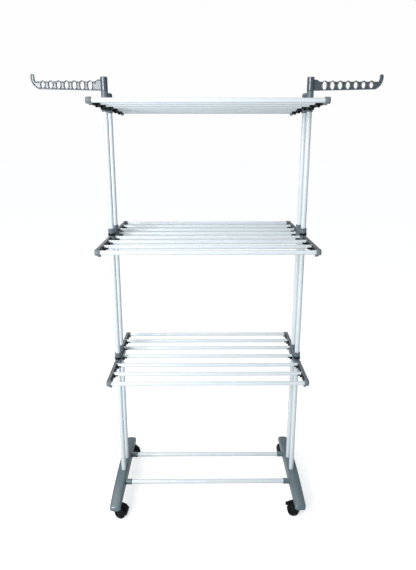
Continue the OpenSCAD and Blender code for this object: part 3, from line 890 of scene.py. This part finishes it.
def hole_cell(i):
    """The blade round one hole. A point lies on the line from the hole's rim to the cell's
    border, at a distance from one of them that is the second parameter."""
    cx, cz, a, b = hole_shape(i)
    left, right = cx - HOLE_PITCH / 2, cx + HOLE_PITCH / 2

    def upright(x):
        z = blade_low(x) + ACROSS * (blade_top(x) - blade_low(x))
        return np.stack([np.full_like(ACROSS, x), z], -1)

    xs = np.linspace(left, right, 15)
    border = np.concatenate([
        upright(left)[:-1], np.stack([xs, blade_top(xs)], -1)[:-1],
        upright(right)[::-1][:-1], np.stack([xs[::-1], blade_low(xs[::-1])], -1)[:-1]])
    angle = np.arctan2((border[:, 1] - cz) / b, (border[:, 0] - cx) / a)
    rim = np.stack([cx + a * np.cos(angle), cz + b * np.sin(angle)], -1)
    span = np.linalg.norm(border - rim, axis=1)[None]
    near = np.minimum(RIM_STEPS[:, None], span * 0.48)
    far = np.minimum(RIM_STEPS[::-1, None], span * 0.48)
    t = np.concatenate([near / span, 1 - far / span])
    return rim[None] + (border - rim)[None] * t[..., None], rim, border


def hub_strip():
    """The blade from inside the hub to the first hole's cell: upright lines side by side."""
    x = np.array([10, 13, 17, 20, 23, 26.5, 30, 33, HOLE_FIRST - HOLE_PITCH / 2])
    low, top = blade_low(x), blade_top(x)
    z = low[:, None] + ACROSS[None] * (top - low)[:, None]
    return np.stack([np.broadcast_to(x[:, None], z.shape), z], -1)


def hook_strip():
    """The hook: lines between its outer and its inner curve, which meet at the round tip."""
    start_x = HOLE_FIRST + HOLE_PITCH * (HOLES - 0.5)
    outer = arc(HOOK_X, HOOK_Z, HOOK_R, HOOK_R, HOOK_START, HOOK_END, 22)
    outer = np.concatenate([[[start_x, blade_low(start_x)]], outer])
    inner_r = HOOK_R - HOOK_T
    corner = arc(HOOK_X, HOOK_Z, inner_r, inner_r, HOOK_MID, HOOK_END, 15)
    flat = np.stack([np.linspace(start_x, corner[0, 0] - 2.5, 8),
                     blade_top(np.linspace(start_x, corner[0, 0] - 2.5, 8))], -1)
    inner = np.concatenate([flat, corner])
    turn = np.linspace(0, 90, 8)[1:]
    tip_r = HOOK_T / 2
    mid = np.radians(HOOK_END)
    centre = np.array([HOOK_X + (HOOK_R - tip_r) * math.cos(mid),
                       HOOK_Z + (HOOK_R - tip_r) * math.sin(mid)])
    out_a, in_a = mid + np.radians(turn), mid + math.pi - np.radians(turn)
    out_tip = centre + tip_r * np.stack([np.cos(out_a), np.sin(out_a)], -1)
    in_tip = centre + tip_r * np.stack([np.cos(in_a), np.sin(in_a)], -1)
    outer = np.concatenate([outer, out_tip])
    inner = np.concatenate([inner, in_tip])
    inner[-1] = outer[-1]
    return outer[:, None] + (inner - outer)[:, None] * ACROSS[None, :, None]


def edge_wall(line, half):
    """The wall along a line of the blade: the line at minus and at plus its half thickness."""
    return np.stack([np.stack([line[:, 0], side * half, line[:, 1]], -1) for side in (-1, 1)])


def arm_patches(shape):
    """The whole arm on the right: two faces, the walls of the holes and of the outline, and
    the hub. X runs out from the hub's axis and Z up from the hub's top."""
    def faces(plan, wrap, half):
        front = np.stack([plan[..., 0], -half, plan[..., 1]], -1)
        return [(front, wrap), (front * np.array([1, -1, 1]), wrap)]

    parts, low_edge, top_edge = [], [], []
    strip = hub_strip()
    half_strip = blade_thickness(strip, shape)
    parts += faces(strip, False, half_strip)
    low_edge.append((strip[:, 0], half_strip[:, 0]))
    top_edge.append((strip[:, -1], half_strip[:, -1]))
    for i in range(HOLES):
        cell, rim, border = hole_cell(i)
        half = blade_thickness(cell, shape)
        parts += faces(cell, True, half)
        parts.append((edge_wall(rim, half[0]), True))
        n = len(ACROSS) - 1
        top_edge.append((border[n:n + 15], half[-1][n:n + 15]))
        low = np.concatenate([border[2 * n + 14:], border[:1]])[::-1]
        low_half = np.concatenate([half[-1][2 * n + 14:], half[-1][:1]])[::-1]
        low_edge.append((low, low_half))
    strip = hook_strip()
    across_mm = np.linalg.norm(strip[:, -1] - strip[:, 0], axis=1)[:, None]
    edge_mm = np.minimum(ACROSS, 1 - ACROSS)[None] * across_mm
    half = shape.arm_web + (shape.arm_rim - shape.arm_web) * bead(edge_mm)
    half[0] = blade_thickness(strip[0], shape)
    parts += faces(strip, False, half)
    low_edge.append((strip[:, 0], half[:, 0]))
    top_edge.append((strip[:, -1], half[:, -1]))
    for edges in (low_edge, top_edge):
        for line, half_line in edges:
            parts.append((edge_wall(line, half_line), False))
    end = hub_strip()[0]
    end_half = blade_thickness(end, shape)
    parts.append((edge_wall(end, end_half), False))
    return parts


def hub_patch():
    """The hub: a turned cup, open below for the spigot, with a groove and a dished top."""
    bore = SPIGOT_R + 0.06
    profile = np.concatenate([
        [[0, -5], [bore, -5], [bore, -HUB_L + 0.6], [bore + 0.6, -HUB_L], [HUB_R - 0.8, -HUB_L],
         [HUB_R, -HUB_L + 0.8], [HUB_R, -20.6], [HUB_R - 0.7, -20.3], [HUB_R - 0.7, -19.4],
         [HUB_R, -19.1]],
        arc(HUB_R - 1.4, -1.4, 1.4, 1.4, 0, 90, 5),
        [[HUB_R - 3.2, 0], [HUB_R - 3.7, -0.6], [0, -0.6]]])
    return lathe(profile, 64)


class RACK_OT_arms(bpy.types.Operator):
    """Builds the two hanger arms"""

    bl_idname = "rack.arms"
    bl_label = "Hanger arms"

    def execute(self, context):
        grey = finish_named("moulded_polypropylene_arm")
        blade = [moved(p, POST_X, -POST_Y, HUB_TOP) for p in arm_patches(context.scene.rack_shape)]
        hub = [moved(hub_patch(), POST_X, -POST_Y, HUB_TOP)]
        for side in SIDES:
            body = f"arm_{side}"
            build(f"{body}_blade", flipped(blade, x=sign_of(side)), grey, body,
                  [body], bevel=0.8)
            build(f"{body}_hub", flipped(hub, x=sign_of(side)), grey, body, [body])
        return {"FINISHED"}


# ---------------------------------------------------------------- feet

FOOT_TOP_ROUND = 17.0
FOOT_PLAN_ROUND = 13.0
FOOT_END_Z = 80.0
FOOT_RIB_YS = (-160, -128, -72, 0, 72, 128, 160)
POST_BOSS_R = 13.6
STEM_BOSS_R = 11.0
SCREW_COVER_Y = 128
PLUG_BOSS_L, PLUG_BOSS_HALF_W = 19.0, 12.5
BASE_SOCKET_L = 27.0
BASE_SOCKET_R = 12.0


def foot_line(wall, count=61):
    """Half width and top height of a foot along its length: an arch that is a parabola of the
    distance from the middle, rounded off at both ends in plan and in height."""
    half_l = (FOOT_HIGH[1] - FOOT_LOW[1]) / 2 - wall
    half_w = (FOOT_HIGH[0] - FOOT_LOW[0]) / 2 - wall
    plan_r, top_r = FOOT_PLAN_ROUND - wall, FOOT_TOP_ROUND - wall
    end = np.radians(np.linspace(0, 88, 12))
    tip = half_l - top_r + top_r * np.sin(end)
    straight = np.linspace(0, half_l - top_r, count // 2)
    y = np.concatenate([straight[:-1], tip])
    y = np.concatenate([-y[::-1][:-1], y])
    far = np.abs(y)
    over = np.maximum(far - (half_l - plan_r), 0)
    width = half_w - plan_r + np.sqrt(np.maximum(plan_r ** 2 - over ** 2, 0))
    mid, drop = FOOT_HIGH[2] - wall, FOOT_HIGH[2] - FOOT_END_Z
    arch = mid - drop * np.minimum(far / (half_l - top_r), 1) ** 2
    over = np.maximum(far - (half_l - top_r), 0)
    top = arch - top_r + np.sqrt(np.maximum(top_r ** 2 - over ** 2, 0))
    return y, width, top


def foot_skin(wall, low, crown=1.2, shoulder=8.0):
    """One skin of a foot: at each place along it, up one side, round the shoulder, over a
    slightly crowned top and down the other side."""
    y, width, top = foot_line(wall)
    r = np.minimum(np.minimum(shoulder - wall, width * 0.8), (top - low) * 0.5)
    turn = np.radians(np.linspace(90, 0, 8))
    right_x = (width - r)[:, None] + r[:, None] * np.cos(turn)
    right_z = (top - r - crown)[:, None] + r[:, None] * np.sin(turn)
    across = np.linspace(-1, 1, 9)[1:-1]
    over_x = (width - r)[:, None] * across
    over_z = (top - crown)[:, None] + crown * (1 - across ** 2)[None]
    side_steps = low + (right_z[:, -1:] - low) * np.array([0, 0.33, 0.66])
    x = np.concatenate([np.broadcast_to(-width[:, None], side_steps.shape), -right_x[:, ::-1], over_x,
                        right_x, np.broadcast_to(width[:, None], side_steps.shape)], 1)
    z = np.concatenate([side_steps, right_z[:, ::-1], over_z, right_z, side_steps[:, ::-1]], 1)
    grid = np.stack([x, np.broadcast_to(y[:, None], x.shape), z], -1)
    ends = [np.stack([g, g * [1, 1, 0] + [0, 0, low]]) for g in (grid[0], grid[-1])]
    return grid, ends


def foot_patches(shape):
    """A foot's shell, open below, with its ribs, bosses and the screw covers on its top."""
    low = FOOT_LOW[2]
    outer, outer_ends = foot_skin(0, low)
    inner, inner_ends = foot_skin(shape.foot_wall, low)
    parts = [(outer, False), (inner, False)]
    parts += [(end, False) for end in outer_ends + inner_ends]
    for column in (0, -1):
        parts.append((np.stack([outer[:, column], inner[:, column]]), False))
    for row in (0, -1):
        a = outer[row] * [1, 1, 0] + [0, 0, low]
        b = inner[row] * [1, 1, 0] + [0, 0, low]
        parts.append((np.stack([a, b]), False))
    y, width, top = foot_line(0)
    swivel_y = joint_mm("caster_rear_left_swivel")[1]
    for y_at in FOOT_RIB_YS:
        half_w = np.interp(y_at, y, width) - 1.5
        roof = np.interp(y_at, y, top) - 5.5
        parts.append(rounded_box([-half_w, y_at - 1, low + 5], [half_w, y_at + 1, roof], 0.6))
    for turn in (-1, 1):
        roof = np.interp(swivel_y, y, top) - 4
        parts.append(moved(lathe(rod_profile(STEM_BOSS_R, low, roof, 0.8)), 0, turn * swivel_y))
        roof = np.interp(POST_Y, y, top) - 3
        boss = lathe(rod_profile(POST_BOSS_R, low + 2, roof, 0.8))
        parts.append(moved(boss, POST_X - FOOT_X, turn * POST_Y))
        half_w = np.interp(BASE_Y, y, width) - 1.5
        roof = np.interp(BASE_Y, y, top) - 6
        parts.append(rounded_box(
            [-half_w, turn * BASE_Y - PLUG_BOSS_HALF_W, low + 3],
            [-half_w + PLUG_BOSS_L, turn * BASE_Y + PLUG_BOSS_HALF_W, roof], 1))
        cover = rounded_plan(6.5, 4.5, 4.4, 8)
        roof = np.interp(SCREW_COVER_Y, y, top)
        parts.append(moved(slab(cover, roof - 2, roof + 0.5, 0.6), 0, turn * SCREW_COVER_Y))
    return parts


def base_socket_patch():
    """The cup that holds a base bar's end, along -X from the foot's inner face."""
    bore = POST_R + 0.06
    profile = np.concatenate([
        [[0, -12], [8.4, -12], [9, -11.4], [9, 0.0], [BASE_SOCKET_R - 0.6, 0], [BASE_SOCKET_R, 0.6]],
        [[BASE_SOCKET_R, 6], [BASE_SOCKET_R - 0.4, 6.6], [BASE_SOCKET_R - 0.4, BASE_SOCKET_L - 5],
         [BASE_SOCKET_R, BASE_SOCKET_L - 4.4]],
        arc(BASE_SOCKET_R - 0.8, BASE_SOCKET_L - 0.8, 0.8, 0.8, 0, 90, 3),
        [[bore, BASE_SOCKET_L], [bore, 4], [0, 4]]])
    grid, wrap = turned(lathe(profile, 52), "x")
    return grid * np.array([-1.0, 1.0, 1.0]), wrap


class RACK_OT_feet(bpy.types.Operator):
    """Builds the two feet and the cups of the base bars"""

    bl_idname = "rack.feet"
    bl_label = "Feet"

    def execute(self, context):
        grey = finish_named("moulded_polypropylene_foot")
        parts = [moved(p, FOOT_X) for p in foot_patches(context.scene.rack_shape)]
        for side in SIDES:
            build(f"foot_{side}_shell", flipped(parts, x=sign_of(side)), grey, "frame",
                  [f"foot_{side}"], sharp=40)
        face = FOOT_LOW[0] - 0.05
        cups = [moved(base_socket_patch(), face, y, BASE_Z) for y in (-BASE_Y, BASE_Y)]
        build("base_bar_cups", cups + flipped(cups, x=-1), grey, "frame",
              ["base_bar_sockets"])
        return {"FINISHED"}


# ---------------------------------------------------------------- casters

WHEEL_GAP = 5.5
WHEEL_W = 15.5
WEB_T = 9.0
FENDER_GAP = 1.2
FENDER_T = 2.0
AXLE_R = 3.0
LEVER_W = 20.0
LEVER_X, LEVER_Z = 38.5, 47.5
LEVER_TILT = 22.0
LEVER_PIN_R = 1.2
LEVER_LUG_R = 3.0
LUG_HALF = WEB_T / 2


def caster_place(corner):
    """Where a caster stands, and the directions of its trail and its axle."""
    swivel = joint_mm(f"caster_{corner}_swivel")
    axle = joint_mm(f"wheels_{corner}_spin")
    trail = (axle - swivel) * [1, 1, 0]
    length = np.linalg.norm(trail)
    trail = trail / length
    return swivel * [1, 1, 0], trail, np.array([-trail[1], trail[0], 0.0]), length


def at_caster(patches, corner):
    """Turns surfaces made about the swivel axis, trailing along +X, to a corner's direction."""
    origin, trail, axle, _ = caster_place(corner)
    basis = np.stack([trail, axle, [0.0, 0.0, 1.0]])
    return [(grid @ basis + origin, wrap) for grid, wrap in patches]


def wheel_patches(trail):
    """Two wheels side by side: a crowned tread with a groove, and a dished outer face."""
    r, w = WHEEL_R - 0.02, WHEEL_W
    crown = np.stack([r - 0.35 * (np.linspace(-1, 1, 9) ** 2),
                      1.2 + (w - 4.4) * np.linspace(0, 1, 9)], -1)
    profile = np.concatenate([
        [[AXLE_R + 0.06, 0], [r - 2, 0], [r - 0.9, 0.4]], crown,
        arc(r - 2.9, w - 3.0, 2.4, 2.5, 0, 80, 5),
        [[r - 4.6, w - 0.7], [r - 6.4, w - 2.4]],
        [[r - 8, w - 2.6], [AXLE_R + 0.06, w - 2.6], [AXLE_R + 0.06, 0]]])
    wheel = lathe(profile, 64)
    grid, wrap = turned(wheel, "y")
    one = (grid + np.array([trail, WHEEL_GAP, WHEEL_R]), wrap)
    return [one] + flipped([one], y=-1)


def cap_patches(trail):
    """The hub cap of each wheel: a shallow dome with a raised ring and a pip."""
    r, w = WHEEL_R - 6.9, WHEEL_W
    dome = np.linspace(r - 3.8, 3.6, 7)
    profile = np.concatenate([
        [[0, w - 3.4], [r, w - 3.4], [r, w - 2.2], [r - 0.5, w - 1.6], [r - 2.6, w - 1.3],
         [r - 3.2, w - 1.9]],
        np.stack([dome, w - 1.9 + 1.3 * (1 - (dome / r) ** 2)], -1),
        arc(0, w - 1.2, 3.2, 1.2, 10, 90, 5)])
    grid, wrap = turned(lathe(profile, 56), "y")
    one = (grid + np.array([trail, WHEEL_GAP, WHEEL_R]), wrap)
    return [one] + flipped([one], y=-1)


def fender_patch(trail, start, end):
    """The fender: a rounded strip section carried along an arc over the wheels."""
    half_w = WHEEL_GAP + WHEEL_W - 1.0
    r_in = WHEEL_R + FENDER_GAP
    a = np.radians(np.linspace(start, end, 25))
    lip = FENDER_T / 2
    side = arc(0, 0, lip, lip, -90, 90, 6)
    section = np.concatenate([
        side + [half_w - lip, 0], [[0, lip]], (-side) + [-half_w + lip, 0], [[0, -lip]]])
    radius = r_in + lip + section[:, 1]
    grid = np.stack([
        trail + radius[None] * np.cos(a)[:, None],
        np.broadcast_to(section[:, 0], (len(a), len(section))),
        WHEEL_R + radius[None] * np.sin(a)[:, None]], -1)
    return closed_ends(grid), True


def lever_lug_patch(trail):
    """The lug that holds the brake's pin: two circles joined by their common tangents."""
    far = np.array([LEVER_X - trail, LEVER_Z - WHEEL_R])
    near_r, near = 2 * LEVER_LUG_R, far / 2
    aim = math.degrees(math.atan2(far[1], far[0]))
    open_to = math.degrees(math.acos((near_r - LEVER_LUG_R) / np.linalg.norm(far - near)))
    outline = np.concatenate([
        arc(*far, LEVER_LUG_R, LEVER_LUG_R, aim - open_to, aim + open_to, 12),
        arc(*near, near_r, near_r, aim + open_to, aim + 360 - open_to, 14)])
    grid, wrap = slab(outline, -LUG_HALF, LUG_HALF, 0.6, middle=tuple(near))
    return np.stack([trail + grid[..., 0], grid[..., 2], WHEEL_R + grid[..., 1]], -1), wrap


def hood_patches(trail, has_brake):
    """A caster's hood: a plate between the wheels, the fender, its cheeks and the stem's boss."""
    r = WHEEL_R + FENDER_GAP + FENDER_T - 0.4
    hood_top = FOOT_LOW[2] - 0.5
    grid, wrap = slab(arc(0, 0, r, r, -35, 215, 36), -WEB_T / 2, WEB_T / 2, 1.0, middle=(0, 0))
    plate = (np.stack([trail + grid[..., 0], grid[..., 2], WHEEL_R + grid[..., 1]], -1), wrap)
    boss_low = WHEEL_R + r - 3.5
    boss = lathe(np.concatenate([
        [[0, boss_low], [10.5, boss_low]], arc(10.4, boss_low + 3.5, 1.4, 2.5, -90, -180, 4),
        [[9, hood_top - 0.8], [8.2, hood_top], [0, hood_top]]]), 48)
    neck = rounded_box([-4.6, -WEB_T / 2, 16], [trail - 4, WEB_T / 2, hood_top - 2], 1.2)
    parts = [plate, fender_patch(trail, 40, 175), boss, neck]
    if has_brake:
        pin = turned(lathe(rod_profile(LEVER_PIN_R, -9.5, 9.5, 0.3), 20), "y")
        parts += [lever_lug_patch(trail), moved(pin, LEVER_X, 0, LEVER_Z)]
    return parts


def lever_patches():
    """The brake's tab: a slab that slopes down from its hinge, with grip ribs across its end,
    and two short arms that hold the pin on both sides of the hood's lug."""
    hinge = np.array([LEVER_X, 0.0, LEVER_Z])
    half_w = LEVER_W / 2
    barrel = ring_profile(LEVER_PIN_R + 0.15, 2.7, LUG_HALF + 0.4, half_w, 0.3)
    barrel = turned(lathe(barrel, 28), "y")
    plan = np.concatenate([[[3.6, -half_w]], arc(11, -half_w + 4, 4, 4, -90, 0, 5),
                           arc(11, half_w - 4, 4, 4, 0, 90, 5), [[3.6, half_w]]])
    tab = slab(plan, -1.5, 1.5, 0.7, middle=(8, 0))
    ribs = [rounded_box([x, -half_w + 3, 1.0], [x + 1.1, half_w - 3, 1.9], 0.3)
            for x in (7.2, 9.6, 12.0)]
    arm = rounded_box([1.9, LUG_HALF + 0.4, -1.4], [5.0, half_w - 0.2, 1.4], 0.4)
    slope = math.radians(LEVER_TILT)
    tilt = np.array([[math.cos(slope), 0, -math.sin(slope)], [0, 1, 0],
                     [math.sin(slope), 0, math.cos(slope)]])
    parts = [tab, arm, barrel] + flipped([arm, barrel], y=-1)
    return [(g @ tilt + hinge, w) for g, w in parts + ribs]


class RACK_OT_casters(bpy.types.Operator):
    """Builds the casters with their wheels, axles, stems and brake levers"""

    bl_idname = "rack.casters"
    bl_label = "Casters"

    def execute(self, context):
        black = finish_named("moulded_nylon_black")
        tread = finish_named("moulded_nylon_tread")
        steel = finish_named("zinc_plated_steel")
        stems = []
        low, high = box_mm("caster_stems")
        for corner in CORNERS:
            trail = caster_place(corner)[3]
            body, spin = f"caster_{corner}", f"wheels_{corner}"
            hood = hood_patches(trail, "front" in corner)
            build(f"{body}_hood_moulding", at_caster(hood, corner), black, body,
                  [f"{body}_hood"])
            build(f"{body}_wheel_pair", at_caster(wheel_patches(trail), corner), tread, spin,
                  [f"{body}_wheels"])
            build(f"{body}_hub_caps", at_caster(cap_patches(trail), corner), black, spin,
                  [f"{body}_wheels"])
            reach = WHEEL_GAP + WHEEL_W - 3
            pin = turned(lathe(rod_profile(AXLE_R, -reach, reach, 0.5), 28), "y")
            build(f"{body}_axle_pin", at_caster([moved(pin, trail, 0, WHEEL_R)], corner), steel, body,
                  [f"{body}_axle"])
            stems += at_caster([lathe(rod_profile(4.0, low[2], high[2], 0.6), 32)], corner)
        build("caster_stem_set", stems, steel, "frame", ["caster_stems"])
        for side in SIDES:
            body = f"brake_lever_{side}"
            build(f"{body}_tab", at_caster(lever_patches(), f"front_{side}"), black, body,
                  [body])
        return {"FINISHED"}


# ---------------------------------------------------------------- stage

def area_light(name, place, aim, size, power, colour=(1.0, 1.0, 1.0)):
    """A soft panel that faces a point."""
    lamp = bpy.data.lights.new(name, "AREA")
    lamp.shape = "RECTANGLE"
    lamp.size, lamp.size_y = size
    lamp.energy = power
    lamp.color = colour
    panel = bpy.data.objects.new(name, lamp)
    panel.location = place
    panel.rotation_euler = (Vector(aim) - Vector(place)).to_track_quat("-Z", "Y").to_euler()
    bpy.context.scene.collection.objects.link(panel)
    return panel


class RACK_OT_stage(bpy.types.Operator):
    """Makes the pale floor, the soft lights and the camera"""

    bl_idname = "rack.stage"
    bl_label = "Stage"

    def execute(self, context):
        scene = context.scene
        world = bpy.data.worlds.new("studio_surround")
        world.use_nodes = True
        tree = world.node_tree
        tree.nodes.clear()
        fill = add_node(tree, "ShaderNodeBackground",
                        sockets={"Color": (0.97, 0.985, 1.0, 1.0), "Strength": 0.24})
        seen = add_node(tree, "ShaderNodeBackground",
                        sockets={"Color": (1.0, 1.0, 1.0, 1.0), "Strength": 0.99})
        ray = add_node(tree, "ShaderNodeLightPath").outputs["Is Camera Ray"]
        mix = add_node(tree, "ShaderNodeMixShader", links={
            0: ray, 1: fill.outputs["Background"], 2: seen.outputs["Background"]})
        add_node(tree, "ShaderNodeOutputWorld", links={"Surface": mix.outputs["Shader"]})
        scene.world = world
        scene.view_settings.view_transform = "Standard"

        mesh = bpy.data.meshes.new("studio_floor")
        half = 40.0
        mesh.from_pydata([(-half, -half, 0), (half, -half, 0), (half, half, 0), (-half, half, 0)],
                         [], [(0, 1, 2, 3)])
        floor = bpy.data.objects.new("studio_floor", mesh)
        scene.collection.objects.link(floor)
        paper, tree, shader, where = new_finish("studio_paper", {"IOR": 1.4, "Roughness": 0.95})
        pale = linear("D2D4D6")
        tree.links.new(two_tone(tree, noise_at(tree, where, 900, 2.0), pale, shaded(pale, 0.98)),
                       shader.inputs["Base Color"])
        shader.inputs["Emission Color"].default_value = (1.0, 1.0, 1.0, 1.0)
        ray = add_node(tree, "ShaderNodeLightPath").outputs["Is Camera Ray"]
        tree.links.new(spread(tree, ray, 0.0, 0.62, 0.0, 1.0), shader.inputs["Emission Strength"])
        mesh.materials.append(paper)

        lamp = bpy.data.lights.new("overhead_diffuser", "SUN")
        lamp.energy = 1.1
        lamp.angle = math.radians(50)
        overhead = bpy.data.objects.new("overhead_diffuser", lamp)
        overhead.rotation_euler = (math.radians(-14), math.radians(-14), 0)
        scene.collection.objects.link(overhead)
        area_light("window_panel", (-1.62, -2.7, 2.0), (-0.2, 0, 1.1), (1.7, 1.9), 112,
                   (0.96, 0.985, 1.0))

        lens = bpy.data.cameras.new("studio_camera")
        lens.sensor_width = 36.0
        lens.lens = 32.12
        lens.clip_end = 60.0
        camera = bpy.data.objects.new("studio_camera", lens)
        camera.location = (-0.0134, -1.970, 1.478)
        camera.rotation_euler = (math.radians(90 - 15.68), 0.0, math.radians(-0.45))
        scene.collection.objects.link(camera)
        scene.camera = camera
        return {"FINISHED"}


# ---------------------------------------------------------------- panel and start

OPERATORS = (RACK_OT_stage, RACK_OT_tubes, RACK_OT_connectors, RACK_OT_pins, RACK_OT_wings,
             RACK_OT_arms, RACK_OT_feet, RACK_OT_casters)


class RACK_PT_panel(bpy.types.Panel):
    """Lists the rack's settings and the steps that build it"""

    bl_label = "Drying Rack"
    bl_idname = "RACK_PT_panel"
    bl_space_type = "VIEW_3D"
    bl_region_type = "UI"
    bl_category = "Rack"

    def draw(self, context):
        for settings in (context.scene.rack_finish, context.scene.rack_shape):
            for name in settings.__annotations__:
                self.layout.prop(settings, name)
        for operator in OPERATORS:
            self.layout.operator(operator.bl_idname)


CLASSES = (RackFinishSettings, RackShapeSettings, *OPERATORS, RACK_PT_panel)


def register():
    for cls in CLASSES:
        bpy.utils.register_class(cls)
    bpy.types.Scene.rack_finish = bpy.props.PointerProperty(type=RackFinishSettings)
    bpy.types.Scene.rack_shape = bpy.props.PointerProperty(type=RackShapeSettings)


def unregister():
    del bpy.types.Scene.rack_shape
    del bpy.types.Scene.rack_finish
    for cls in reversed(CLASSES):
        bpy.utils.unregister_class(cls)


def main():
    register()
    bpy.ops.rack.stage()
    bpy.ops.rack.tubes()
    bpy.ops.rack.connectors()
    bpy.ops.rack.pins()
    bpy.ops.rack.wings()
    bpy.ops.rack.arms()
    bpy.ops.rack.feet()
    bpy.ops.rack.casters()
    bpy.context.view_layer.update()


if __name__ == "__main__":
    main()
